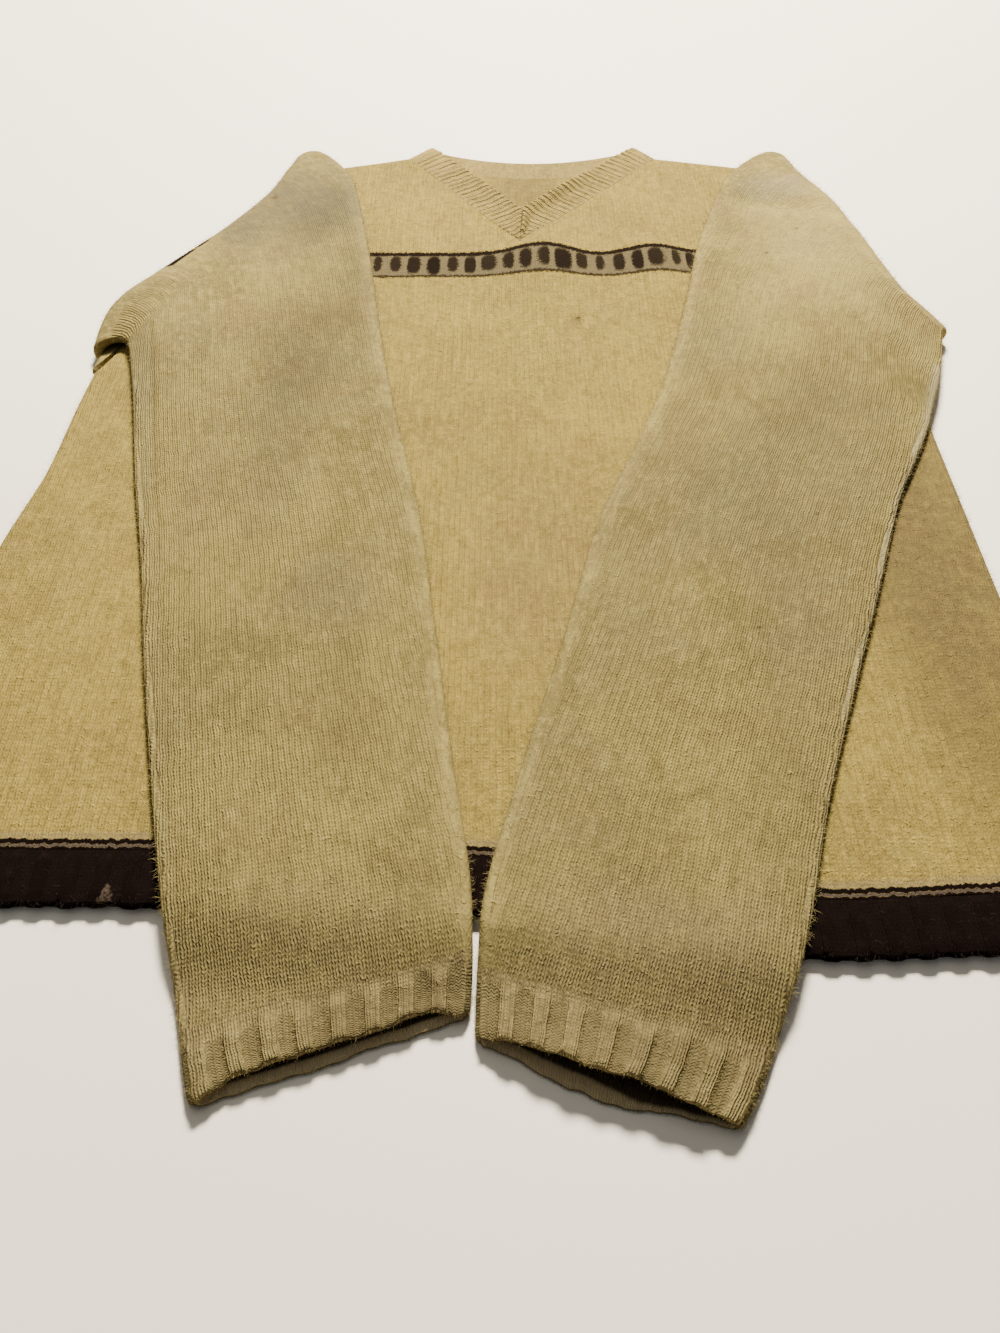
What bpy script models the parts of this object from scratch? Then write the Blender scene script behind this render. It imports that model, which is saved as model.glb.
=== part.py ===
"""A thick felted wool sweater with a V neck, lying flat on its back panel.

Both sleeves are folded over at the armholes and laid down over the front, and the cuffs reach past the hem.
X runs across the chest, +Y runs from the hem to the neck and +Z is up. The surface it lies on is z = 0.
Left and right are as seen from above with the neck away from the viewer. All sizes are in metres.
"""

import math
from collections import namedtuple

import bmesh
import bpy
from mathutils import Vector

# Cloth
WALL = 0.0025
LAYER_GAP = 0.0008
SEAM_GAP = 0.0005
HALF_WALL = WALL / 2
BACK_LEVEL = HALF_WALL
FRONT_LEVEL = WALL + LAYER_GAP + HALF_WALL
FRONT_TOP = FRONT_LEVEL + HALF_WALL
BODY_MID = FRONT_TOP / 2
BACK_REACH = 0.0016  # how far the back goes in under the front's turned-down sides
UNDERARM_TUCK = 0.0014  # the front's edge is drawn in at the underarm
BACK_TUCK = 0.0025  # and the back's at both ends of the armhole

# Ribbing: a rib is raised by RIB_HEIGHT over half of its pitch
RIB_HEIGHT = 0.0010
HEM_RIBS = 41
CUFF_RIBS = 8
NECK_RIB_PITCH = 0.0050
NECK_RIB_HEIGHT = 0.0007
HEM_BAND = 0.0225
NECK_BAND = 0.0240

# The hem seam, where the dark ribbing starts. It sags to the right, as the photo shows.
HemPoint = namedtuple("HemPoint", "x y")
HEM_SEAM = [
    HemPoint(-0.2600, -0.2370),
    HemPoint(-0.1360, -0.2374),
    HemPoint(-0.0130, -0.2402),
    HemPoint(0.0600, -0.2500),
    HemPoint(0.1170, -0.2582),
    HemPoint(0.1870, -0.2560),
    HemPoint(0.2330, -0.2550),
]

# The side seams, from the hem to the underarm, at shares of that height
SidePoint = namedtuple("SidePoint", "share left_x right_x")
SIDES = [
    SidePoint(0.00, -0.2600, 0.2330),
    SidePoint(0.28, -0.2510, 0.2335),
    SidePoint(0.55, -0.2450, 0.2328),
    SidePoint(0.72, -0.2370, 0.2325),
    SidePoint(0.90, -0.2345, 0.2320),
    SidePoint(1.00, -0.2325, 0.2310),
]
UNDERARM_Y = 0.0710

# The armhole seams, from the shoulder tip at 0 to the underarm at 1
ArmholePoint = namedtuple("ArmholePoint", "share left_x left_y right_x right_y")
ARMHOLES = [
    ArmholePoint(0.00, -0.1190, 0.3070, 0.1740, 0.3070),
    ArmholePoint(0.12, -0.1265, 0.2780, 0.1855, 0.2780),
    ArmholePoint(0.27, -0.1360, 0.2440, 0.1990, 0.2430),
    ArmholePoint(0.43, -0.1530, 0.2064, 0.2065, 0.2064),
    ArmholePoint(0.58, -0.1740, 0.1740, 0.2120, 0.1740),
    ArmholePoint(0.76, -0.1990, 0.1346, 0.2180, 0.1400),
    ArmholePoint(0.89, -0.2170, 0.1030, 0.2240, 0.1070),
    ArmholePoint(1.00, -0.2325, 0.0710, 0.2310, 0.0710),
]

# The outline of the turned-over fold at each armhole, from the shoulder tip to the underarm
FoldPoint = namedtuple("FoldPoint", "share left_x left_y left_radius right_x right_y right_radius")
FOLDS = [
    FoldPoint(0.00, -0.1470, 0.3160, 0.0062, 0.2040, 0.3150, 0.0062),
    FoldPoint(0.12, -0.1530, 0.2870, 0.0062, 0.2110, 0.2860, 0.0062),
    FoldPoint(0.27, -0.1610, 0.2530, 0.0066, 0.2260, 0.2480, 0.0066),
    FoldPoint(0.43, -0.1760, 0.2180, 0.0070, 0.2325, 0.2080, 0.0068),
    FoldPoint(0.58, -0.1930, 0.1880, 0.0074, 0.2375, 0.1760, 0.0064),
    FoldPoint(0.76, -0.2180, 0.1480, 0.0080, 0.2450, 0.1400, 0.0054),
    FoldPoint(0.89, -0.2350, 0.1230, 0.0080, 0.2555, 0.1180, 0.0042),
    FoldPoint(1.00, -0.2365, 0.0890, 0.0066, 0.2605, 0.1010, 0.0033),
]

# Where each sleeve lies past its fold: the ends of sections from the top edge to the underarm edge,
# the share of the fold's height that is left, and how far the upper layer stands off the lower one
SleeveRow = namedtuple("SleeveRow", "station inner_x inner_y outer_x outer_y lift puff")
LEFT_SLEEVE = [
    SleeveRow(0, -0.1080, 0.3080, -0.2190, 0.1010, 1.00, 0.0000),
    SleeveRow(1, -0.0950, 0.2480, -0.2120, 0.0830, 0.80, 0.0010),
    SleeveRow(2, -0.0840, 0.1900, -0.2070, 0.0640, 0.55, 0.0018),
    SleeveRow(3, -0.0740, 0.1260, -0.2010, 0.0400, 0.30, 0.0024),
    SleeveRow(4, -0.0640, 0.0640, -0.1945, 0.0110, 0.12, 0.0027),
    SleeveRow(5, -0.0530, 0.0080, -0.1850, -0.0300, 0.03, 0.0027),
    SleeveRow(6, -0.0400, -0.0550, -0.1700, -0.0880, 0.00, 0.0026),
    SleeveRow(7, -0.0300, -0.1250, -0.1555, -0.1500, 0.00, 0.0025),
    SleeveRow(8, -0.0205, -0.1950, -0.1370, -0.2220, 0.00, 0.0025),
    SleeveRow(9, -0.0125, -0.2480, -0.1215, -0.2760, 0.00, 0.0024),
    SleeveRow(10, -0.0108, -0.2790, -0.1118, -0.3085, 0.00, 0.0022),
    SleeveRow(11, -0.0114, -0.3045, -0.1045, -0.3360, 0.00, 0.0018),
]
RIGHT_SLEEVE = [
    SleeveRow(0, 0.1640, 0.3080, 0.2540, 0.0920, 1.00, 0.0000),
    SleeveRow(1, 0.1430, 0.2500, 0.2430, 0.0580, 0.80, 0.0010),
    SleeveRow(2, 0.1250, 0.1960, 0.2330, 0.0330, 0.55, 0.0018),
    SleeveRow(3, 0.1100, 0.1320, 0.2240, 0.0100, 0.30, 0.0024),
    SleeveRow(4, 0.0900, 0.0560, 0.2110, -0.0160, 0.12, 0.0027),
    SleeveRow(5, 0.0694, -0.0010, 0.1970, -0.0440, 0.03, 0.0027),
    SleeveRow(6, 0.0473, -0.0560, 0.1790, -0.0910, 0.00, 0.0026),
    SleeveRow(7, 0.0270, -0.1330, 0.1555, -0.1500, 0.00, 0.0025),
    SleeveRow(8, 0.0085, -0.1980, 0.1300, -0.2150, 0.00, 0.0025),
    SleeveRow(9, -0.0060, -0.2540, 0.1110, -0.2720, 0.00, 0.0026),
    SleeveRow(10, -0.0090, -0.2850, 0.0930, -0.3140, 0.00, 0.0050),
    SleeveRow(11, -0.0096, -0.3140, 0.0785, -0.3446, 0.00, 0.0080),
]
SLEEVE_END = 10
CUFF_END = 11
HEM_STATION = 8
CUFF_GAP = 0.036  # the seam, in stations
DROP_START = 0.004
DROP_LENGTH = 0.034
REST_GAP = 0.0007
SLEEVE_HALF = LAYER_GAP / 2 + WALL
FOLD_LEAN = 0.35  # how far the top of a fold leans towards the first section past it

# Neck and shoulders
CENTRE_AT_HEM = Vector((-0.0115, -0.2402))
CENTRE_AT_UNDERARM = Vector((0.0050, 0.0850))
V_POINT = Vector((0.0120, 0.2090))
LEFT_NECK_POINT = Vector((-0.0640, 0.3230))
RIGHT_NECK_POINT = Vector((0.1080, 0.3230))
BACK_NECK_POINT = Vector((0.0220, 0.3010))
V_SHARE = 0.58
BACK_NECK_SHARE = 0.12

# Two soft swellings of the front below the V, where the stripe rises
Swelling = namedtuple("Swelling", "x y width length height")
SWELLINGS = [
    Swelling(0.0270, 0.1850, 0.0170, 0.0300, 0.0040),
    Swelling(0.0990, 0.1850, 0.0150, 0.0300, 0.0030),
]

# Mesh density
SIDE_ROWS = 7
HALF_COLUMNS = 7
TURN_STEPS = 3
BACK_NECK_STEPS = 8
FOLD_STEPS = 6
CUFF_UNDER_COLUMNS = 6
CUFF_INSET = 0.032
END_STEPS = 3


def smooth(share):
    share = min(max(share, 0.0), 1.0)
    return share * share * (3.0 - 2.0 * share)


def mix(a, b, share):
    return a + (b - a) * share


def read(rows, key, column, at):
    """The column of a table at a value of its key, on a smooth curve through its rows."""
    keys = [getattr(row, key) for row in rows]
    values = [getattr(row, column) for row in rows]
    if at <= keys[0]:
        return values[0]
    if at >= keys[-1]:
        return values[-1]
    k = max(i for i in range(len(keys) - 1) if keys[i] <= at)
    span = keys[k + 1] - keys[k]
    share = (at - keys[k]) / span
    before, after = max(k - 1, 0), min(k + 2, len(keys) - 1)
    start = (values[k + 1] - values[before]) / (keys[k + 1] - keys[before]) * span
    end = (values[after] - values[k]) / (keys[after] - keys[k]) * span
    square, cube = share * share, share * share * share
    return (
        (2 * cube - 3 * square + 1) * values[k]
        + (cube - 2 * square + share) * start
        + (3 * square - 2 * cube) * values[k + 1]
        + (cube - square) * end
    )


def hem_y(x):
    return read(HEM_SEAM, "x", "y", x)


def body_bump(x, y):
    return sum(
        s.height * math.exp(-(((x - s.x) / s.width) ** 2 + ((y - s.y) / s.length) ** 2) / 2)
        for s in SWELLINGS
    )


def make_material(name, colour, roughness):
    material = bpy.data.materials.new(name)
    material.use_nodes = True
    shader = material.node_tree.nodes["Principled BSDF"]
    shader.inputs["Base Color"].default_value = (*colour, 1.0)
    shader.inputs["Roughness"].default_value = roughness
    shader.inputs["Metallic"].default_value = 0.0
    return material


# Surfaces are grids of points midway through the cloth. A point is (place, raised above, raised below).


class Surface:
    """The middle of a cloth piece, made of grids that share the points where they meet."""

    def __init__(self):
        self.mesh = bmesh.new()
        self.above = self.mesh.verts.layers.float.new("above")
        self.below = self.mesh.verts.layers.float.new("below")
        self.known = {}

    def point(self, place, above=0.0, below=0.0):
        key = tuple(round(value * 1e6) for value in place)
        if key not in self.known:
            vertex = self.mesh.verts.new(place)
            vertex[self.above] = above
            vertex[self.below] = below
            self.known[key] = vertex
        return self.known[key]

    def grid(self, rows, around=False):
        """Adds faces between rows of points, facing the side from which rows run up and columns right."""
        corners = [[self.point(*entry) for entry in row] for row in rows]
        for low, high in zip(corners, corners[1:]):
            count = len(low)
            for i in range(count if around else count - 1):
                j = (i + 1) % count
                loop = []
                for vertex in (low[i], low[j], high[j], high[i]):
                    if vertex not in loop:
                        loop.append(vertex)
                if len(loop) > 2:
                    self.mesh.faces.new(loop)

    def solid(self, name, material):
        """One closed wall of the cloth's thickness around the surface, with its ribs raised."""
        self.mesh.normal_update()
        self.mesh.verts.index_update()
        made = bmesh.new()
        skins = []
        for side, layer in ((1.0, self.above), (-1.0, self.below)):
            skin = []
            for vertex in self.mesh.verts:
                place = vertex.co + vertex.normal * side * (HALF_WALL + vertex[layer])
                place.z = max(place.z, 0.0)
                skin.append(made.verts.new(place))
            skins.append(skin)
        upper, lower = skins
        for face in self.mesh.faces:
            made.faces.new([upper[v.index] for v in face.verts])
            made.faces.new([lower[v.index] for v in reversed(face.verts)])
        for edge in self.mesh.edges:
            if edge.is_boundary:
                loop = edge.link_loops[0]
                a, b = loop.vert.index, loop.link_loop_next.vert.index
                made.faces.new([upper[b], upper[a], lower[a], lower[b]])
        data = bpy.data.meshes.new(name)
        made.to_mesh(data)
        made.free()
        self.mesh.free()
        data.shade_smooth()
        data.set_sharp_from_angle(angle=math.radians(50))
        data.materials.append(material)
        piece = bpy.data.objects.new(name, data)
        bpy.context.scene.collection.objects.link(piece)
        return piece


# Body: plan of the front and back panels


def side_point(side, share):
    x = read(SIDES, "share", side + "_x", share)
    return Vector((x, mix(hem_y(x), UNDERARM_Y, share)))


def armhole_point(side, share):
    """The armhole runs straight between its table's rows, so that panels and sleeve meet on one line."""
    for above, below in zip(ARMHOLES, ARMHOLES[1:]):
        if share <= below.share:
            break
    along = (share - above.share) / (below.share - above.share)
    x = mix(getattr(above, side + "_x"), getattr(below, side + "_x"), along)
    return Vector((x, mix(getattr(above, side + "_y"), getattr(below, side + "_y"), along)))


def armhole_out(side, share):
    """The direction square to the armhole, away from the body."""
    along = armhole_point(side, min(share + 0.06, 1.0)) - armhole_point(side, max(share - 0.06, 0.0))
    across = Vector((along.y, -along.x)).normalized()
    return across if across.dot(outward(side)) > 0 else -across


def outward(side):
    return Vector((-1.0 if side == "left" else 1.0, 0.0))


def armhole_shares(more):
    """The armhole table's rows with one more between each two, and others asked for, from the underarm up."""
    shares = [row.share for row in reversed(ARMHOLES)]
    return sorted({*shares, *more, *((a + b) / 2 for a, b in zip(shares, shares[1:]))}, reverse=True)[1:]


def body_rows(more=()):
    """(edge function, share, how far the edge is turned down) for each row from the hem to the shoulder."""
    rows = [(side_point, i / SIDE_ROWS, 1.0) for i in range(SIDE_ROWS + 1)]
    shares = armhole_shares(more)
    return rows + [(armhole_point, share, 0.5 if share == shares[0] else 0.0) for share in shares]


def centre_point(edge, share, neck_share, neck_bottom, neck_curve, side):
    """The inner end of a row: on the centre line below the neck, and on the neck edge above it."""
    if edge is side_point:
        return CENTRE_AT_HEM.lerp(CENTRE_AT_UNDERARM, share)
    if share >= neck_share:
        return CENTRE_AT_UNDERARM.lerp(neck_bottom, (1.0 - share) / (1.0 - neck_share))
    return neck_curve(side, 1.0 - share / neck_share)


def front_neck(side, share):
    return V_POINT.lerp(LEFT_NECK_POINT if side == "left" else RIGHT_NECK_POINT, share)


def back_neck(side, share):
    """The back neckline from its lowest point to the shoulder, a shallow parabola."""
    end = LEFT_NECK_POINT if side == "left" else RIGHT_NECK_POINT
    return Vector((mix(BACK_NECK_POINT.x, end.x, share), mix(BACK_NECK_POINT.y, end.y, share * share)))


def shoulder_up(side):
    """The direction square to the shoulder seam, away from the body."""
    tip = armhole_point(side, 0.0)
    neck = LEFT_NECK_POINT if side == "left" else RIGHT_NECK_POINT
    along = (neck - tip).normalized()
    up = Vector((-along.y, along.x))
    return up if up.y > 0 else -up


def turned(step):
    """Sideways and upright parts of a quarter turn from lying flat to standing on its rim."""
    angle = math.pi / 2 * step / TURN_STEPS
    return math.sin(angle), math.cos(angle)


def front_half(surface, side):
    rows = []
    for edge, share, turn in body_rows():
        end = centre_point(edge, share, V_SHARE, V_POINT, front_neck, side)
        out = (edge(side, share) - end).normalized()
        start = edge(side, share) - out * FRONT_TOP
        row = []
        for step in range(TURN_STEPS, 0, -1):
            across, upright = turned(step)
            flat = step / TURN_STEPS * FRONT_TOP
            reach = mix(flat, across * FRONT_LEVEL, turn)
            if edge is armhole_point:
                reach -= (SEAM_GAP / 2 + UNDERARM_TUCK * turn) * step / TURN_STEPS
            elif share == 1.0:
                reach -= UNDERARM_TUCK / 2 * step / TURN_STEPS
            place = start + out * reach
            row.append(Vector((place.x, place.y, mix(FRONT_LEVEL, upright * FRONT_LEVEL, turn))))
        for i in range(HALF_COLUMNS + 1):
            u = i / HALF_COLUMNS
            place = start.lerp(end, u)
            if edge is side_point:
                place.y += (hem_y(place.x) - place.y) * (1.0 - smooth(share * 2.5))
            row.append(Vector((place.x, place.y, FRONT_LEVEL + body_bump(place.x, place.y))))
        rows.append(row)
    up = shoulder_up(side)
    top = rows[-1]
    for step in range(1, TURN_STEPS + 1):
        across, upright = turned(step)
        shift = up * across * FRONT_LEVEL
        rows.append([Vector((p.x + shift.x, p.y + shift.y, p.z * upright)) for p in top])
    if side == "right":
        rows = [row[::-1] for row in rows]
    surface.grid([[(place,) for place in row] for row in rows])


def back_half(surface, side):
    rows = []
    neck_shares = [BACK_NECK_SHARE * i / BACK_NECK_STEPS for i in range(BACK_NECK_STEPS)]
    for edge, share, turn in body_rows(neck_shares):
        tuck = 1.0 - smooth(share / 0.12) + smooth((share - 0.76) / 0.13)
        reach = FRONT_TOP - SEAM_GAP / 2 - BACK_TUCK * tuck
        if turn:
            reach = BACK_REACH
        end = centre_point(edge, share, BACK_NECK_SHARE, BACK_NECK_POINT, back_neck, side)
        start = edge(side, share) + (edge(side, share) - end).normalized() * (reach - FRONT_TOP)
        row = []
        for i in range(HALF_COLUMNS + 1):
            u = i / HALF_COLUMNS
            place = start.lerp(end, u)
            if edge is side_point:
                place.y += (hem_y(place.x) - place.y) * (1.0 - smooth(share * 2.5))
            if share == 0.0 and edge is armhole_point and i < HALF_COLUMNS:
                place += shoulder_up(side) * BACK_REACH
            row.append(Vector((place.x, place.y, BACK_LEVEL)))
        rows.append(row)
    if side == "right":
        rows = [row[::-1] for row in rows]
    surface.grid([[(place,) for place in row] for row in rows])


def make_front(material):
    surface = Surface()
    front_half(surface, "left")
    front_half(surface, "right")
    return surface.solid("front", material)


def make_back(material):
    surface = Surface()
    back_half(surface, "left")
    back_half(surface, "right")
    return surface.solid("back", material)


# Hem bands


def make_hem_front(material):
    """Raised ribs over the width, with both ends turned down like the front's sides."""
    left, right = side_point("left", 0.0).x + FRONT_TOP, side_point("right", 0.0).x - FRONT_TOP
    places = []
    for step in range(TURN_STEPS, 0, -1):
        across, upright = turned(step)
        places.append((left, -across * FRONT_LEVEL, upright * FRONT_LEVEL, 0.0))
    pitch = (right - left) / HEM_RIBS
    for rib in range(HEM_RIBS):
        for phase, height in ((0.06, 0.0), (0.44, 0.0), (0.56, RIB_HEIGHT), (0.94, RIB_HEIGHT)):
            places.append((left + (rib + phase) * pitch, 0.0, FRONT_LEVEL, height))
    for step in range(1, TURN_STEPS + 1):
        across, upright = turned(step)
        places.append((right, across * FRONT_LEVEL, upright * FRONT_LEVEL, 0.0))
    rows = []
    for down in (HEM_BAND, SEAM_GAP):
        rows.append([(Vector((x + beyond, hem_y(x) - down, z)), height) for x, beyond, z, height in places])
    surface = Surface()
    surface.grid(rows)
    return surface.solid("hem_front", material)


def make_hem_back(material):
    left = side_point("left", 0.0).x + FRONT_TOP - BACK_REACH
    right = side_point("right", 0.0).x - FRONT_TOP + BACK_REACH
    columns = 4 * HALF_COLUMNS
    rows = []
    for down in (HEM_BAND, SEAM_GAP):
        row = []
        for i in range(columns + 1):
            x = mix(left, right, i / columns)
            row.append((Vector((x, hem_y(x) - down, BACK_LEVEL)),))
        rows.append(row)
    surface = Surface()
    surface.grid(rows)
    return surface.solid("hem_back", material)


# Sleeves and cuffs


def hem_edge_y(x):
    return hem_y(min(max(x, HEM_SEAM[0].x), HEM_SEAM[-1].x)) - HEM_BAND


def rest_height(x, y):
    """Height of what a sleeve lies on, with its slope from the hem down to the surface."""
    over = FRONT_TOP + RIB_HEIGHT * smooth((hem_edge_y(x) + HEM_BAND + 0.02 - y) / 0.02) + REST_GAP
    return over * (1.0 - smooth((hem_edge_y(x) - DROP_START - y) / DROP_LENGTH))


def sleeve_stations():
    """Where sections lie from the fold to the sleeve's end, closer together where it drops past the hem."""
    past_hem = [HEM_STATION + i / 4 for i in range(4 * (SLEEVE_END - HEM_STATION) + 1)]
    return [float(i) for i in range(1, HEM_STATION)] + past_hem


def section_place(rows, station, across):
    """A point in plan, at a station and a share across the sleeve."""
    inner_x, inner_y, outer_x, outer_y = (
        read(rows, "station", column, station) for column in ("inner_x", "inner_y", "outer_x", "outer_y")
    )
    return Vector((mix(inner_x, outer_x, across), mix(inner_y, outer_y, across)))


def fold_point(side, share):
    share = min(max(share, 0.0), 1.0)
    return Vector((read(FOLDS, "share", side + "_x", share), read(FOLDS, "share", side + "_y", share)))


def sleeve_path(side, rows, stations, across):
    """(place, puff) down the middle of a sleeve's two layers, for a share across it from its top edge."""
    seam = armhole_point(side, across)
    fold = fold_point(side, across)
    along = (fold_point(side, across + 0.02) - fold_point(side, across - 0.02)).normalized()
    out = Vector((along.y, -along.x))
    if out.dot(outward(side)) < 0:
        out = -out
    radius = read(FOLDS, "share", side + "_radius", across)
    bend = fold - out * (SLEEVE_HALF + radius)
    path = [(Vector((*(seam + armhole_out(side, across) * SEAM_GAP), BODY_MID)), 0.0)]
    path.append((Vector((*seam.lerp(bend, 0.55), BODY_MID)), 0.0))
    lean = (section_place(rows, 0.0, across) - bend) * FOLD_LEAN
    for i in range(FOLD_STEPS + 1):
        angle = math.pi * i / FOLD_STEPS
        place = bend + lean * (i / FOLD_STEPS) ** 2 + out * radius * math.sin(angle)
        path.append((Vector((*place, BODY_MID + radius * (1.0 - math.cos(angle)))), 0.0))
    for station in stations:
        place = section_place(rows, station, across)
        lift = read(rows, "station", "lift", station)
        height = mix(rest_height(*place) + SLEEVE_HALF, BODY_MID + 2 * radius, lift)
        path.append((Vector((*place, height)), read(rows, "station", "puff", station)))
    return path


def ring_places(top_shares, under_shares):
    """(share across, sideways, upright) around a flat tube: top, one edge, underside, other edge."""
    turns = [math.pi * i / END_STEPS for i in range(1, END_STEPS)]
    ring = [(share, 0.0, 1.0) for share in top_shares]
    ring += [(1.0, math.sin(turn), math.cos(turn)) for turn in turns]
    ring += [(share, 0.0, -1.0) for share in under_shares]
    ring += [(0.0, -math.sin(turn), -math.cos(turn)) for turn in turns]
    return ring


def tube(surface, side, rows, stations, first, top_shares, under_shares, heights):
    """A flat tube whose wall follows the sleeve's middle, from path step first to the last station."""
    reverse = side == "right"
    edge_radius = SLEEVE_HALF - HALF_WALL
    centre = {}
    rings = ring_places(top_shares, under_shares)

    def middle(across):
        if across not in centre:
            centre[across] = sleeve_path(side, rows, stations, across)
        return centre[across]

    width_ends = [(middle(0.0)[k][0] - middle(1.0)[k][0]).length for k in range(len(middle(0.0)))]
    grid = []
    for k in range(first, len(width_ends)):
        inset = SLEEVE_HALF / width_ends[k]
        row = []
        for index, (share, sideways, upright) in enumerate(rings):
            across = min(max(share, inset), 1.0 - inset)
            path = middle(round(across, 6))
            place, puff = path[k]
            step = 0.01
            left = middle(round(max(across - step, 0.0), 6))[k][0]
            right = middle(round(min(across + step, 1.0), 6))[k][0]
            before, after = path[max(k - 1, 0)][0], path[min(k + 1, len(path) - 1)][0]
            lateral = (right - left).normalized()
            normal = lateral.cross(after - before).normalized()
            if reverse:
                normal = -normal
            crown = puff * (1.0 - abs(2.0 * share - 1.0) ** 2.5) if upright == 1.0 else 0.0
            offset = normal * (upright * edge_radius + crown) + lateral * sideways * edge_radius
            height = heights[index] if index < len(heights) else 0.0
            row.append((place + offset, height))
        grid.append(row)
    if reverse:
        grid = [row[::-1] for row in grid]
    surface.grid(grid, around=True)


def make_sleeve(side, rows, material):
    surface = Surface()
    under = [row.share for row in reversed(ARMHOLES)]
    top = sorted(under + [0.05, 0.20, 0.35, 0.67, 0.95])
    tube(surface, side, rows, sleeve_stations(), 0, top, under, [])
    return surface.solid("sleeve_" + side, material)


def make_cuff(side, rows, material):
    """Sections lie past the sleeve's end, halfway and at the cuff's own end. The first one only steers."""
    shares, heights = [], []
    for rib in range(CUFF_RIBS):
        for phase, height in ((0.06, 0.0), (0.44, 0.0), (0.56, RIB_HEIGHT), (0.94, RIB_HEIGHT)):
            shares.append(mix(CUFF_INSET, 1.0 - CUFF_INSET, (rib + phase) / CUFF_RIBS))
            heights.append(height)
    stations = [SLEEVE_END - 0.5, SLEEVE_END + CUFF_GAP, (SLEEVE_END + CUFF_END) / 2, float(CUFF_END)]
    surface = Surface()
    under = [mix(1.0, 0.0, i / CUFF_UNDER_COLUMNS) for i in range(CUFF_UNDER_COLUMNS + 1)]
    tube(surface, side, rows, stations, FOLD_STEPS + 4, shares, under, heights)
    return surface.solid("cuff_" + side, material)


# Neck band


NeckSection = namedtuple("NeckSection", "seam edge level above below")


def neck_sections(side):
    """Sections across the band, from the point of the V over the shoulder to the middle of the back."""
    end = LEFT_NECK_POINT if side == "left" else RIGHT_NECK_POINT
    other = RIGHT_NECK_POINT if side == "left" else LEFT_NECK_POINT
    edge = (end - V_POINT).normalized()
    middle = (edge + (other - V_POINT).normalized()).normalized()
    inward = (middle - edge * middle.dot(edge)).normalized()
    slope = math.tan(math.acos(middle.dot(edge)))
    length = (end - V_POINT).length
    back_end = Vector((end.x - BACK_NECK_POINT.x, 2 * (end.y - BACK_NECK_POINT.y)))
    back_up = Vector((-back_end.y, back_end.x)).normalized()
    if back_up.y < 0:
        back_up = -back_up
    fold_across = (inward + back_up).normalized()
    fold_out = Vector((-fold_across.y, fold_across.x))
    if fold_out.dot(outward(side)) < 0:
        fold_out = -fold_out
    sections = []
    step = NECK_RIB_PITCH / 2
    count = math.ceil(length / step)
    for i in range(count + 1):
        along = min(max(i * step, SEAM_GAP / slope), length)
        place = V_POINT + edge * along
        across = inward.lerp(fold_across, smooth((along / length - 0.75) / 0.25)).normalized()
        far = place + across * NECK_BAND
        if along * slope < NECK_BAND:
            far = V_POINT + middle * (along * math.sqrt(1.0 + slope * slope))
        height = NECK_RIB_HEIGHT * (i % 2)
        sections.append(NeckSection(place + across * SEAM_GAP, far, FRONT_LEVEL, height, 0.0))
    radius = (FRONT_LEVEL - BACK_LEVEL) / 2
    for i in range(5):
        angle = math.pi * i / 4
        beyond = BACK_REACH + radius * math.sin(angle)
        seam = end + shoulder_up(side) * beyond + fold_across * 3 * SEAM_GAP
        free = end + fold_out * beyond + fold_across * NECK_BAND
        level = (FRONT_LEVEL + BACK_LEVEL) / 2 + radius * math.cos(angle)
        sections.append(NeckSection(seam, free, level, 0.0, 0.0))
    count = round(abs(end.x - BACK_NECK_POINT.x) / step)
    for i in range(1, count + 1):
        share = 1.0 - i / count
        place = back_neck(side, share)
        run = Vector((end.x - BACK_NECK_POINT.x, 2 * share * (end.y - BACK_NECK_POINT.y)))
        up = Vector((-run.y, run.x)).normalized()
        if up.y < 0:
            up = -up
        across = fold_across.lerp(up, smooth((1.0 - share) / 0.25)).normalized()
        height = NECK_RIB_HEIGHT * (i % 2) if i < count else 0.0
        seam, free = place + across * SEAM_GAP, place + across * NECK_BAND
        sections.append(NeckSection(seam, free, BACK_LEVEL, 0.0, height))
    return sections


def make_neck_band(material):
    surface = Surface()
    for side in ("left", "right"):
        rows = []
        for share in (0.0, 0.5, 1.0):
            row = []
            for section in neck_sections(side):
                place = section.seam.lerp(section.edge, share)
                level = section.level + body_bump(*place)
                row.append((Vector((*place, level)), section.above, section.below))
            rows.append(row)
        if side == "left":
            rows = [row[::-1] for row in rows]
        surface.grid(rows)
    return surface.solid("neck_band", material)


def main():
    for thing in list(bpy.data.objects):
        bpy.data.objects.remove(thing)
    cream = make_material("cream_wool", (0.52, 0.39, 0.18), 0.95)
    sleeve_cream = make_material("sleeve_wool", (0.48, 0.38, 0.20), 0.95)
    rib_cream = make_material("cream_rib", (0.54, 0.42, 0.21), 0.95)
    dark = make_material("dark_rib", (0.020, 0.009, 0.007), 0.9)
    make_back(cream)
    make_front(cream)
    make_hem_back(dark)
    make_hem_front(dark)
    make_sleeve("left", LEFT_SLEEVE, sleeve_cream)
    make_sleeve("right", RIGHT_SLEEVE, sleeve_cream)
    make_cuff("left", LEFT_SLEEVE, rib_cream)
    make_cuff("right", RIGHT_SLEEVE, rib_cream)
    make_neck_band(rib_cream)


main()
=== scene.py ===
"""A thick felted wool sweater with a V neck, lying flat with its sleeves folded over the front.

It works as a Blender add-on, with a panel in the 3D view's sidebar, and also as a script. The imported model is
loaded as a fixed frame, and each cloth piece here takes the place of the plain solid of the same name.
Left and right are as seen from above with the neck away from the viewer. Sizes are in metres.
"""

import math
from collections import namedtuple

import bmesh
import bpy
import numpy as np
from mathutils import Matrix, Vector, noise


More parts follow.
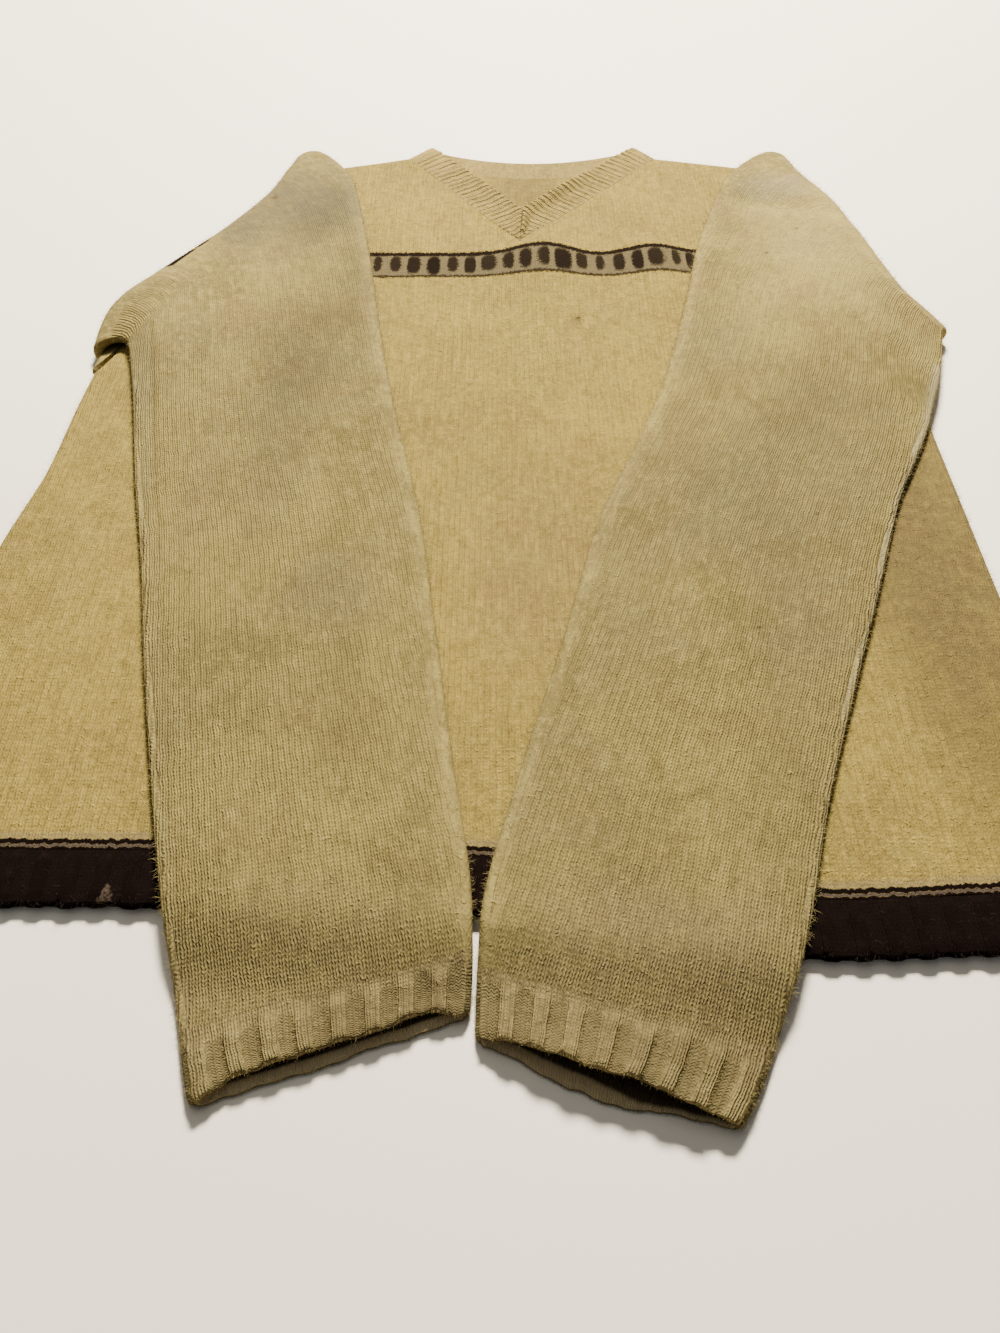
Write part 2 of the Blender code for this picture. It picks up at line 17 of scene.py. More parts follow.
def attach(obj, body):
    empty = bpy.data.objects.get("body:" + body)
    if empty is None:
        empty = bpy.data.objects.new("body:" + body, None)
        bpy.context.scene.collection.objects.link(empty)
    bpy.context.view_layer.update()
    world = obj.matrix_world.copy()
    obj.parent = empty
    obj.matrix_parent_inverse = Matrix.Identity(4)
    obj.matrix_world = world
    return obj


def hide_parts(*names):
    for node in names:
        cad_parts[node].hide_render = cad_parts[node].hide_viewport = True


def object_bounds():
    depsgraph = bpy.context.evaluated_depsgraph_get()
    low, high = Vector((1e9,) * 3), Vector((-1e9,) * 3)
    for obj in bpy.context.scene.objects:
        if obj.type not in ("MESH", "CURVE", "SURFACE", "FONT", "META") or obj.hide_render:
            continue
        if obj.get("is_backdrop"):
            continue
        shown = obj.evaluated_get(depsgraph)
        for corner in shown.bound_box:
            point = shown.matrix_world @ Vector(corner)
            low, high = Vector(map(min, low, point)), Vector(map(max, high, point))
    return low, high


bl_info = {
    "name": "Folded wool sweater",
    "version": (1, 0, 0),
    "blender": (4, 5, 0),
    "location": "3D View > Sidebar > Sweater",
    "description": "Builds a felted wool sweater that lies flat with its sleeves folded over the front",
    "category": "Object",
}

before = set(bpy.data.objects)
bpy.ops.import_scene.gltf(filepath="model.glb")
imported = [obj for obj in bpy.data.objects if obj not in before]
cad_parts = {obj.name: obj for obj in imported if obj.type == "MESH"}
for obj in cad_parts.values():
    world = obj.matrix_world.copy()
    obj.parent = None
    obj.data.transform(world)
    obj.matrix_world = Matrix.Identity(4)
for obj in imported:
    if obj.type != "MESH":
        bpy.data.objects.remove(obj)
CAD_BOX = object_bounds()

# Cloth
WALL = 0.0025
LAYER_GAP = 0.0008
SEAM_GAP = 0.0002
HALF_WALL = WALL / 2
BACK_LEVEL = HALF_WALL
FRONT_LEVEL = WALL + LAYER_GAP + HALF_WALL
FRONT_TOP = FRONT_LEVEL + HALF_WALL
BODY_MID = FRONT_TOP / 2
BACK_REACH = 0.0016

# Ribbing
RIB_HEIGHT = 0.0010
WALE_PITCH = 0.0021
WALES_IN_RIB = 6
HEM_RIBS = 41
CUFF_RIBS = 8
NECK_RIB_PITCH = 0.0050
NECK_RIB_HEIGHT = 0.0008
HEM_BAND = 0.0225
NECK_BAND = 0.0240

# The hem seam, where the dark ribbing starts
HemPoint = namedtuple("HemPoint", "x y")
HEM_SEAM = [
    HemPoint(-0.2600, -0.2370),
    HemPoint(-0.1360, -0.2374),
    HemPoint(-0.0130, -0.2402),
    HemPoint(0.0600, -0.2500),
    HemPoint(0.1170, -0.2582),
    HemPoint(0.1870, -0.2560),
    HemPoint(0.2330, -0.2550),
]

# The side seams, from the hem to the underarm
SidePoint = namedtuple("SidePoint", "share left_x right_x")
SIDES = [
    SidePoint(0.00, -0.2600, 0.2330),
    SidePoint(0.28, -0.2510, 0.2335),
    SidePoint(0.55, -0.2450, 0.2328),
    SidePoint(0.72, -0.2370, 0.2325),
    SidePoint(0.90, -0.2345, 0.2320),
    SidePoint(1.00, -0.2325, 0.2310),
]
UNDERARM_Y = 0.0710

# The armhole seams, from the shoulder tip to the underarm
ArmholePoint = namedtuple("ArmholePoint", "share left_x left_y right_x right_y")
ARMHOLES = [
    ArmholePoint(0.00, -0.1190, 0.3070, 0.1740, 0.3070),
    ArmholePoint(0.12, -0.1265, 0.2780, 0.1855, 0.2780),
    ArmholePoint(0.27, -0.1360, 0.2440, 0.1990, 0.2430),
    ArmholePoint(0.43, -0.1530, 0.2064, 0.2065, 0.2064),
    ArmholePoint(0.58, -0.1740, 0.1740, 0.2120, 0.1740),
    ArmholePoint(0.76, -0.1990, 0.1346, 0.2180, 0.1400),
    ArmholePoint(0.89, -0.2170, 0.1030, 0.2240, 0.1070),
    ArmholePoint(1.00, -0.2325, 0.0710, 0.2310, 0.0710),
]

# The outline of the turned-over fold at each armhole
FoldPoint = namedtuple("FoldPoint", "share left_x left_y left_radius right_x right_y right_radius")
FOLDS = [
    FoldPoint(0.00, -0.1470, 0.3160, 0.0062, 0.2040, 0.3150, 0.0062),
    FoldPoint(0.12, -0.1530, 0.2870, 0.0062, 0.2110, 0.2860, 0.0062),
    FoldPoint(0.27, -0.1610, 0.2530, 0.0066, 0.2260, 0.2480, 0.0066),
    FoldPoint(0.43, -0.1760, 0.2180, 0.0070, 0.2325, 0.2080, 0.0068),
    FoldPoint(0.58, -0.1930, 0.1880, 0.0074, 0.2375, 0.1760, 0.0064),
    FoldPoint(0.76, -0.2180, 0.1480, 0.0080, 0.2450, 0.1400, 0.0054),
    FoldPoint(0.89, -0.2350, 0.1210, 0.0066, 0.2555, 0.1210, 0.0042),
    FoldPoint(1.00, -0.2365, 0.0850, 0.0036, 0.2615, 0.1070, 0.0033),
]

# Where each sleeve lies past its fold: the ends of sections, from the fold to the end of the cuff,
# the share of the fold's height that is left, and how far the upper layer stands off the lower one
SleeveRow = namedtuple("SleeveRow", "station inner_x inner_y outer_x outer_y lift puff")
LEFT_SLEEVE = [
    SleeveRow(0, -0.1080, 0.3080, -0.2190, 0.1010, 1.00, 0.0000),
    SleeveRow(1, -0.0950, 0.2480, -0.2120, 0.0830, 0.80, 0.0010),
    SleeveRow(2, -0.0840, 0.1900, -0.2070, 0.0640, 0.55, 0.0018),
    SleeveRow(3, -0.0740, 0.1260, -0.2010, 0.0400, 0.30, 0.0024),
    SleeveRow(4, -0.0640, 0.0640, -0.1945, 0.0110, 0.12, 0.0027),
    SleeveRow(5, -0.0530, 0.0080, -0.1850, -0.0300, 0.03, 0.0027),
    SleeveRow(6, -0.0400, -0.0550, -0.1700, -0.0880, 0.00, 0.0026),
    SleeveRow(7, -0.0300, -0.1250, -0.1555, -0.1500, 0.00, 0.0025),
    SleeveRow(8, -0.0205, -0.1950, -0.1370, -0.2220, 0.00, 0.0025),
    SleeveRow(9, -0.0125, -0.2480, -0.1215, -0.2760, 0.00, 0.0024),
    SleeveRow(10, -0.0108, -0.2790, -0.1118, -0.3085, 0.00, 0.0022),
    SleeveRow(11, -0.0114, -0.3045, -0.1045, -0.3360, 0.00, 0.0018),
]
RIGHT_SLEEVE = [
    SleeveRow(0, 0.1640, 0.3080, 0.2545, 0.0960, 1.00, 0.0000),
    SleeveRow(1, 0.1430, 0.2500, 0.2430, 0.0580, 0.80, 0.0010),
    SleeveRow(2, 0.1250, 0.1960, 0.2330, 0.0330, 0.55, 0.0018),
    SleeveRow(3, 0.1100, 0.1320, 0.2240, 0.0100, 0.30, 0.0024),
    SleeveRow(4, 0.0900, 0.0560, 0.2110, -0.0160, 0.12, 0.0027),
    SleeveRow(5, 0.0694, -0.0010, 0.1970, -0.0440, 0.03, 0.0027),
    SleeveRow(6, 0.0473, -0.0560, 0.1790, -0.0910, 0.00, 0.0026),
    SleeveRow(7, 0.0270, -0.1330, 0.1555, -0.1500, 0.00, 0.0025),
    SleeveRow(8, 0.0085, -0.1980, 0.1300, -0.2150, 0.00, 0.0025),
    SleeveRow(9, -0.0060, -0.2540, 0.1110, -0.2720, 0.00, 0.0026),
    SleeveRow(10, -0.0090, -0.2850, 0.0930, -0.3140, 0.00, 0.0044),
    SleeveRow(11, -0.0096, -0.3140, 0.0785, -0.3446, 0.00, 0.0068),
]
SLEEVE_ROWS = {"left": LEFT_SLEEVE, "right": RIGHT_SLEEVE}
ROUND = {"left": -1, "right": 1}  # which way the wales are counted around each sleeve
SLEEVE_END = 10
CUFF_END = 11
CUFF_LENGTH = 0.028
DROP_START = 0.004
DROP_LENGTH = 0.034
RIB_SLOPE = 0.020  # how far above the hem a sleeve begins to rise onto its ribs
REST_GAP = 0.0007
SLEEVE_HALF = LAYER_GAP / 2 + WALL
FOLD_LEAN = 0.35

# Neck and shoulders
CENTRE_AT_HEM = Vector((-0.0115, -0.2402))
CENTRE_AT_UNDERARM = Vector((0.0050, 0.0850))
V_POINT = Vector((0.0120, 0.2090))
NECK_POINTS = {"left": Vector((-0.0640, 0.3230)), "right": Vector((0.1080, 0.3230))}
BACK_NECK_POINT = Vector((0.0220, 0.3010))
V_SHARE = 0.58
BACK_NECK_SHARE = 0.12

# Two soft swellings of the front below the V, where the stripe rises
Swelling = namedtuple("Swelling", "x y width length height")
SWELLINGS = [
    Swelling(0.0270, 0.1850, 0.0170, 0.0300, 0.0040),
    Swelling(0.0990, 0.1850, 0.0150, 0.0300, 0.0030),
]

# The chest stripe's lower and upper lines, as they lie across the front
StripePoint = namedtuple("StripePoint", "x low high")
STRIPE = [
    StripePoint(-0.1600, 0.1680, 0.1955),
    StripePoint(-0.0800, 0.1690, 0.1965),
    StripePoint(-0.0060, 0.1705, 0.1980),
    StripePoint(0.0270, 0.1712, 0.2040),
    StripePoint(0.0600, 0.1700, 0.1970),
    StripePoint(0.0960, 0.1725, 0.2035),
    StripePoint(0.1220, 0.1720, 0.1995),
    StripePoint(0.1900, 0.1720, 0.1995),
]

# Soft creases. Angle 0 runs along X and 90 along Y. A positive height is a ridge and a negative one a trough.
Crease = namedtuple("Crease", "x y angle length width height")
FRONT_CREASES = [
    Crease(-0.020, 0.060, 92, 0.120, 0.030, -0.0008),
    Crease(0.050, -0.020, 96, 0.110, 0.028, 0.0009),
    Crease(-0.200, -0.120, 74, 0.090, 0.022, 0.0012),
    Crease(-0.222, -0.020, 70, 0.070, 0.014, -0.0010),
    Crease(0.196, -0.130, 100, 0.080, 0.016, 0.0014),
    Crease(0.176, -0.180, 96, 0.060, 0.012, -0.0010),
    Crease(0.140, 0.240, 120, 0.040, 0.012, 0.0012),
    Crease(-0.060, 0.250, 64, 0.040, 0.012, 0.0010),
]
SLEEVE_CREASES = {
    "left": [
        Crease(-0.118, 0.205, 60, 0.035, 0.016, -0.0022),
        Crease(-0.150, 0.150, 52, 0.050, 0.014, 0.0018),
        Crease(-0.170, 0.080, 84, 0.050, 0.012, -0.0016),
        Crease(-0.115, 0.060, 88, 0.080, 0.020, -0.0014),
        Crease(-0.090, -0.090, 96, 0.090, 0.020, 0.0010),
        Crease(-0.060, -0.215, 104, 0.040, 0.012, -0.0012),
        Crease(-0.100, -0.255, 100, 0.030, 0.010, 0.0010),
    ],
    "right": [
        Crease(0.182, 0.240, 160, 0.040, 0.011, -0.0034),
        Crease(0.176, 0.220, 160, 0.046, 0.014, 0.0012),
        Crease(0.205, 0.120, 112, 0.060, 0.014, 0.0014),
        Crease(0.140, 0.080, 62, 0.090, 0.022, 0.0014),
        Crease(0.165, 0.010, 68, 0.090, 0.018, -0.0014),
        Crease(0.090, -0.110, 74, 0.090, 0.018, 0.0012),
        Crease(0.062, -0.230, 78, 0.040, 0.012, -0.0012),
        Crease(0.112, -0.165, 76, 0.060, 0.012, -0.0012),
    ],
}

# Dirt marks on the wool, and painted shade and painted light, as soft patches in plan. Strength is how much of
# the colour shows in the middle.
ColourPatch = namedtuple("ColourPatch", "x y across along strength colour")
GREY_GREEN = (0.082, 0.072, 0.042)
DULL_BROWN = (0.092, 0.066, 0.026)
DARK_SPOT = (0.045, 0.026, 0.010)
PINKISH = (0.170, 0.112, 0.055)
# PALE is the colour of painted light on the right sleeve's top
PALE = (0.330, 0.250, 0.080)
GREYISH = (0.190, 0.158, 0.092)
SHADED = (0.098, 0.078, 0.038)

PANEL_WOOL = (0.212, 0.154, 0.038)
SLEEVE_WOOL = (0.197, 0.153, 0.049)
CUFF_WOOL = (0.178, 0.139, 0.056)
NECK_WOOL = (0.240, 0.176, 0.055)

CAMERA_PLACE = (-0.001, -0.448, 0.372)
CAMERA_TILT = 39.5
CAMERA_LENS = 29.22


def smooth(share):
    share = min(max(share, 0.0), 1.0)
    return share * share * (3.0 - 2.0 * share)


def mix(a, b, share):
    return a + (b - a) * share


def read(rows, key, column, at):
    """The column of a table at a value of its key, on a smooth curve through its rows."""
    keys = [getattr(row, key) for row in rows]
    values = [getattr(row, column) for row in rows]
    if at <= keys[0]:
        return values[0]
    if at >= keys[-1]:
        return values[-1]
    k = max(i for i in range(len(keys) - 1) if keys[i] <= at)
    span = keys[k + 1] - keys[k]
    share = (at - keys[k]) / span
    before, after = max(k - 1, 0), min(k + 2, len(keys) - 1)
    start = (values[k + 1] - values[before]) / (keys[k + 1] - keys[before]) * span
    end = (values[after] - values[k]) / (keys[after] - keys[k]) * span
    square, cube = share * share, share * share * share
    return (
        (2 * cube - 3 * square + 1) * values[k]
        + (cube - 2 * square + share) * start
        + (3 * square - 2 * cube) * values[k + 1]
        + (cube - square) * end
    )


def hem_y(x):
    return read(HEM_SEAM, "x", "y", x)


def body_bump(x, y):
    return sum(
        s.height * math.exp(-(((x - s.x) / s.width) ** 2 + ((y - s.y) / s.length) ** 2) / 2)
        for s in SWELLINGS
    )


def crease_height(creases, x, y):
    total = 0.0
    for c in creases:
        turn = math.radians(c.angle)
        along = (x - c.x) * math.cos(turn) + (y - c.y) * math.sin(turn)
        across = (y - c.y) * math.cos(turn) - (x - c.x) * math.sin(turn)
        reach = (along / c.length) ** 2 + (across / c.width) ** 2
        if reach < 6.0:
            total += c.height * math.exp(-reach)
    return total


def lumps(x, y, size, seed):
    """Felted wool is never quite flat: about -1 to 1."""
    return noise.noise(Vector((x / size, y / size, seed)))


def facing(direction, other):
    """The direction, turned round if it points away from the other one."""
    return direction if direction.dot(other) > 0 else -direction


def quarter_turn(steps):
    """The angles of an edge that turns down by a quarter, from its first step to its last."""
    return [math.pi / 2 * step / steps for step in range(1, steps + 1)]


def add_object(name, data, material=None):
    if material:
        data.materials.append(material)
    thing = bpy.data.objects.new(name, data)
    bpy.context.scene.collection.objects.link(thing)
    return thing


# Surfaces are grids of points midway through the cloth

INSIDE = 4.0  # added to the first mark on the wrong side of the cloth

Spot = namedtuple("Spot", "place above knit marks rim", defaults=(0.0, (0.0, 0.0), (0.0, 0.0), 1.0))


class Surface:
    """The middle of a cloth piece, made of grids that share the points where they meet."""

    def __init__(self):
        self.mesh = bmesh.new()
        self.above = self.mesh.verts.layers.float.new("above")
        self.rim = self.mesh.verts.layers.float.new("rim")
        self.knit = self.mesh.loops.layers.uv.new("Knit")
        self.marks = self.mesh.loops.layers.uv.new("Marks")
        self.known = {}

    def point(self, spot):
        key = tuple(round(value * 2e5) for value in spot.place)
        if key not in self.known:
            vertex = self.mesh.verts.new(spot.place)
            vertex[self.above] = spot.above
            vertex[self.rim] = spot.rim
            self.known[key] = vertex
        return self.known[key]

    def grid(self, rows, closing=None, reverse=False):
        """Adds faces between rows of spots. Closing holds the knit place where each row of a tube ends."""
        if reverse:
            rows = [row[::-1] for row in rows]
        joint = len(rows[0]) - 1 if reverse else 0
        corners = [[self.point(spot) for spot in row] for row in rows]
        for r in range(len(rows) - 1):
            count = len(rows[r])
            for i in range(count if closing else count - 1):
                j = (i + 1) % count
                loop = []
                for row, column in ((r, i), (r, j), (r + 1, j), (r + 1, i)):
                    vertex = corners[row][column]
                    spot = rows[row][column]
                    knit = closing[row] if closing and i == count - 1 and column == joint else spot.knit
                    if vertex not in [entry[0] for entry in loop]:
                        loop.append((vertex, knit, spot.marks))
                if len(loop) > 2:
                    face = self.mesh.faces.new([entry[0] for entry in loop])
                    for corner, entry in zip(face.loops, loop):
                        corner[self.knit].uv = entry[1]
                        corner[self.marks].uv = entry[2]

    def piece(self, name, material):
        """One closed wall of the cloth's thickness, with its ribs raised on top and its free rims thinner."""
        self.mesh.normal_update()
        self.mesh.verts.index_update()
        made = bmesh.new()
        knit, marks = made.loops.layers.uv.new("Knit"), made.loops.layers.uv.new("Marks")
        skins = []
        for side in (1.0, -1.0):
            skin = []
            for vertex in self.mesh.verts:
                raised = vertex[self.above] if side > 0 else 0.0
                place = vertex.co + vertex.normal * side * (HALF_WALL * vertex[self.rim] + raised)
                place.z = max(place.z, 0.0)
                skin.append(made.verts.new(place))
            skins.append(skin)
        upper, lower = skins

        def add(corners, vertices, inside=0.0):
            face = made.faces.new(vertices)
            for loop, corner in zip(face.loops, corners):
                loop[knit].uv = corner[self.knit].uv
                loop[marks].uv = corner[self.marks].uv + Vector((inside, 0.0))

        for face in self.mesh.faces:
            loops = list(face.loops)
            add(loops, [upper[c.vert.index] for c in loops])
            add(loops[::-1], [lower[c.vert.index] for c in reversed(loops)], INSIDE)
        for edge in self.mesh.edges:
            if edge.is_boundary:
                a, b = edge.link_loops[0], edge.link_loops[0].link_loop_next
                i, j = a.vert.index, b.vert.index
                add((b, a, a, b), [upper[j], upper[i], lower[i], lower[j]])
        data = bpy.data.meshes.new(name)
        made.to_mesh(data)
        made.free()
        self.mesh.free()
        data.shade_smooth()
        data.set_sharp_from_angle(angle=math.radians(70))
        piece = add_object(name, data, material)
        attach(piece, "root")
        return piece


# Body: plan of the front and back panels

NORTH = Vector((0.0, 1.0))


def side_point(side, share):
    x = read(SIDES, "share", side + "_x", share)
    return Vector((x, mix(hem_y(x), UNDERARM_Y, share)))


def table_point(rows, side, share):
    return Vector([read(rows, "share", side + column, share) for column in ("_x", "_y")])


def armhole_point(side, share):
    return table_point(ARMHOLES, side, share)


def outward(side):
    return Vector((-1.0 if side == "left" else 1.0, 0.0))


def armhole_out(side, share):
    """The direction square to the armhole, away from the body."""
    along = armhole_point(side, min(share + 0.06, 1.0)) - armhole_point(side, max(share - 0.06, 0.0))
    return facing(Vector((along.y, -along.x)).normalized(), outward(side))


def body_rows(side_rows, armhole_rows, neck_share, neck_rows):
    """(edge function, share, how far the edge is turned down) for each row from the hem to the shoulder."""
    rows = [(side_point, i / side_rows, 1.0) for i in range(side_rows + 1)]
    shares = [mix(1.0, neck_share, i / armhole_rows) for i in range(1, armhole_rows + 1)]
    shares += [neck_share * (1 - i / neck_rows) for i in range(1, neck_rows + 1)]
    return rows + [(armhole_point, share, smooth((share - 0.90) / 0.10)) for share in shares]


def centre_point(edge, share, neck_share, neck_bottom, neck_curve, side):
    """The inner end of a row: on the centre line below the neck, and on the neck edge above it."""
    if edge is side_point:
        return CENTRE_AT_HEM.lerp(CENTRE_AT_UNDERARM, share)
    if share >= neck_share:
        return CENTRE_AT_UNDERARM.lerp(neck_bottom, (1.0 - share) / (1.0 - neck_share))
    return neck_curve(side, 1.0 - share / neck_share)


def front_neck(side, share):
    return V_POINT.lerp(NECK_POINTS[side], share)


def back_neck(side, share):
    """The back neckline from its lowest point to the shoulder, a shallow parabola."""
    end = NECK_POINTS[side]
    return Vector((mix(BACK_NECK_POINT.x, end.x, share), mix(BACK_NECK_POINT.y, end.y, share * share)))


def shoulder_up(side):
    """The direction square to the shoulder seam, away from the body."""
    along = (NECK_POINTS[side] - armhole_point(side, 0.0)).normalized()
    return facing(Vector((-along.y, along.x)), NORTH)


def body_marks(x, y):
    """How far a place lies above the hem seam, and its share of the way up the chest stripe."""
    low, high = read(STRIPE, "x", "low", x), read(STRIPE, "x", "high", x)
    return (y - hem_y(x), (y - low) / (high - low))


def front_half(surface, side):
    turn_steps, columns = 6, 62
    plan_rows = body_rows(76, 44, V_SHARE, 46)
    places = []
    for edge, share, turn in plan_rows:
        end = centre_point(edge, share, V_SHARE, V_POINT, front_neck, side)
        out = (edge(side, share) - end).normalized()
        start = edge(side, share) - out * FRONT_TOP
        row = []
        for step, angle in reversed(list(enumerate(quarter_turn(turn_steps), 1))):
            flat = step / turn_steps * FRONT_TOP
            reach = mix(flat, math.sin(angle) * FRONT_LEVEL, turn)
            if edge is armhole_point:
                reach -= (SEAM_GAP / 2 + 0.0010 * turn * (1.0 - turn)) * step / turn_steps
            place = start + out * reach
            row.append((place.x, place.y, mix(FRONT_LEVEL, math.cos(angle) * FRONT_LEVEL, turn)))
        for i in range(columns + 1):
            u = i / columns
            place = start.lerp(end, u)
            if edge is side_point:
                place.y += (hem_y(place.x) - mix(start.y, end.y, u)) * (1.0 - smooth(share * 2.5))
            x, y = place
            inside = smooth(i / 8) if turn or edge is armhole_point else 1.0
            level = FRONT_LEVEL + body_bump(x, y)
            level += (crease_height(FRONT_CREASES, x, y) + 0.0004 * lumps(x, y, 0.03, 3.0)) * inside
            row.append((x, y, level))
        places.append(row)
    up = shoulder_up(side)
    top = places[-1]
    for angle in quarter_turn(turn_steps):
        shift = math.sin(angle) * FRONT_LEVEL
        places.append([(x + up.x * shift, y + up.y * shift, z * math.cos(angle)) for x, y, z in top])
    rows = []
    for row in places:
        spots = [Spot((x, y, z), knit=(x, y), marks=body_marks(x, y)) for x, y, z in row]
        rows.append(spots[::-1] if side == "right" else spots)
    surface.grid(rows)


def back_half(surface, side):
    columns = 40
    rows = []
    for edge, share, turn in body_rows(50, 50, BACK_NECK_SHARE, 16):
        drawn_in = 1.0 - smooth(share / 0.12) + smooth((share - 0.76) / 0.13)
        reach = BACK_REACH if turn else FRONT_TOP - SEAM_GAP / 2 - 0.0025 * drawn_in
        end = centre_point(edge, share, BACK_NECK_SHARE, BACK_NECK_POINT, back_neck, side)
        start = edge(side, share) + (edge(side, share) - end).normalized() * (reach - FRONT_TOP)
        row = []
        for i in range(columns + 1):
            u = i / columns
            place = start.lerp(end, u)
            if edge is side_point:
                place.y += (hem_y(place.x) - mix(start.y, end.y, u)) * (1.0 - smooth(share * 2.5))
            if share == 0.0 and edge is armhole_point and i < columns:
                place += shoulder_up(side) * BACK_REACH
            x, y = place
            row.append(Spot((x, y, BACK_LEVEL), knit=(x, y), marks=body_marks(x, y)))
        rows.append(row[::-1] if side == "right" else row)
    surface.grid(rows)


def rib_profile(phase):
    """0 in the furrow and 1 on the rib, with soft flanks."""
    phase = phase % 1.0
    flank = 0.12
    rib = smooth((phase - 0.44) / flank) * (1.0 - smooth((phase - 0.94) / flank))
    return rib + smooth((0.06 - phase) / flank)


def hem_grid(front):
    """Rows of spots for a hem band, ribbed across its width."""
    turn_steps = 5
    inset = FRONT_TOP if front else FRONT_TOP - BACK_REACH
    left, right = side_point("left", 0.0).x + inset, side_point("right", 0.0).x - inset
    pitch = (right - left) / HEM_RIBS
    wale = WALE_PITCH * WALES_IN_RIB
    angles = quarter_turn(turn_steps) if front else []
    flanks = [(math.sin(angle) * FRONT_LEVEL, math.cos(angle) * FRONT_LEVEL) for angle in angles]
    places = [(left, -beyond, z, 0.0) for beyond, z in reversed(flanks)]
    steps = 12
    level = FRONT_LEVEL if front else BACK_LEVEL
    for i in range(HEM_RIBS * steps + 1):
        places.append((mix(left, right, i / (HEM_RIBS * steps)), 0.0, level, rib_profile(i / steps)))
    places += [(right, beyond, z, 0.0) for beyond, z in flanks]
    rows = []
    lengths = 14
    for k in range(lengths + 1):
        share = k / lengths
        row = []
        for x, beyond, z, rib in places:
            far = HEM_BAND - 0.0007 * (1.0 - rib) + 0.0006 * lumps(x, 0.0, 0.013, 5.0)
            down = mix(far, SEAM_GAP, share)
            raised = RIB_HEIGHT * rib * smooth((1.0 - share) * 5) * (0.75 + 0.25 * smooth(share * 6))
            knit = ((x - left) / pitch * wale, -down)
            lift = 0.0005 * lumps(x, down, 0.02, 8.0) * smooth(share * 3) if front else 0.0
            rim = mix(0.55, 1.0, smooth(share * 7))
            place = (x + beyond, hem_y(x) - down, max(z + lift, 0.0))
            row.append(Spot(place, raised if front else 0.0, knit, (rib, down), rim))
        rows.append(row)
    return rows


# Sleeves and cuffs


def hem_edge_y(x):
    return hem_y(min(max(x, HEM_SEAM[0].x), HEM_SEAM[-1].x)) - HEM_BAND


def rest_height(x, y):
    """Height of what a sleeve lies on, with its slope from the hem down to the surface."""
    edge = hem_edge_y(x)
    over = FRONT_TOP + RIB_HEIGHT * smooth((edge + HEM_BAND + RIB_SLOPE - y) / RIB_SLOPE) + REST_GAP
    return over * (1.0 - smooth((edge - DROP_START - y) / DROP_LENGTH))


Section = namedtuple("Section", "inner outer lift puff")


def section(side, station):
    rows = SLEEVE_ROWS[side]
    values = {name: read(rows, "station", name, station) for name in SleeveRow._fields[1:]}
    return Section(
        Vector((values["inner_x"], values["inner_y"])),
        Vector((values["outer_x"], values["outer_y"])),
        values["lift"],
        values["puff"],
    )


class Sleeve:
    """The middle of a sleeve's two layers: from the armhole, round the fold and down over the front."""

    SEAM_STEPS = 5
    FOLD_STEPS = 18
    TURNED = SEAM_STEPS + FOLD_STEPS  # the last step of the fold

    def __init__(self, side, stations):
        self.side = side
        self.stations = stations
        self.sections = [section(side, station) for station in stations]
        self.first = section(side, 0.0)
        self.paths = {}
        axis = [s.inner.lerp(s.outer, 0.5) for s in self.sections]
        self.tangents = []
        for k in range(len(axis)):
            before, after = axis[max(k - 1, 0)], axis[min(k + 1, len(axis) - 1)]
            self.tangents.append((after - before).normalized())
        self.axis = axis

    def path(self, across):
        """(place, upper layer's rise) for each step, at a share across the sleeve from its top edge."""
        across = round(across, 5)
        if across not in self.paths:
            self.paths[across] = self.make_path(across)
        return self.paths[across]

    def fold_point(self, share):
        return table_point(FOLDS, self.side, share)

    def make_path(self, across):
        side = self.side
        seam = armhole_point(side, across)
        fold = self.fold_point(across)
        before, after = max(across - 0.03, 0.0), min(across + 0.03, 1.0)
        along = (self.fold_point(after) - self.fold_point(before)).normalized()
        out = facing(Vector((along.y, -along.x)), outward(side))
        radius = read(FOLDS, "share", side + "_radius", across)
        bend = fold - out * (SLEEVE_HALF + radius)
        start = seam + armhole_out(side, across) * SEAM_GAP
        flat = [start.lerp(bend, i / self.SEAM_STEPS) for i in range(self.SEAM_STEPS)]
        path = [(Vector((*place, BODY_MID)), 0.0) for place in flat]
        lean = (self.first.inner.lerp(self.first.outer, across) - bend) * FOLD_LEAN
        for i in range(self.FOLD_STEPS + 1):
            angle = math.pi * i / self.FOLD_STEPS
            place = bend + lean * (i / self.FOLD_STEPS) ** 2 + out * radius * math.sin(angle)
            path.append((Vector((*place, BODY_MID + radius * (1.0 - math.cos(angle)))), 0.0))
        for s, station in zip(self.sections, self.stations):
            place = (bend + lean).lerp(s.inner.lerp(s.outer, across), smooth(station * 1.6))
            height = mix(rest_height(*place) + SLEEVE_HALF, BODY_MID + 2 * radius, s.lift)
            path.append((Vector((*place, height)), s.puff))
        return path

    def knit_place(self, k, across):
        """Where a point lies in the flat knitting: across from the middle wale, and along."""
        i = max(k - self.TURNED - 1, 0)
        s, tangent = self.sections[i], self.tangents[i]
        away = s.inner.lerp(s.outer, across) - self.axis[i]
        side = Vector((-tangent.y, tangent.x))
        along = sum((b - a).length for a, b in zip(self.axis[:i], self.axis[1 : i + 1]))
        if k <= self.TURNED:
            middle = self.path(0.5)
            along -= (middle[k][0] - middle[self.TURNED + 1][0]).length
        return Vector((away.dot(side), along + away.dot(tangent)))


Ring = namedtuple("Ring", "share sideways upright rib")


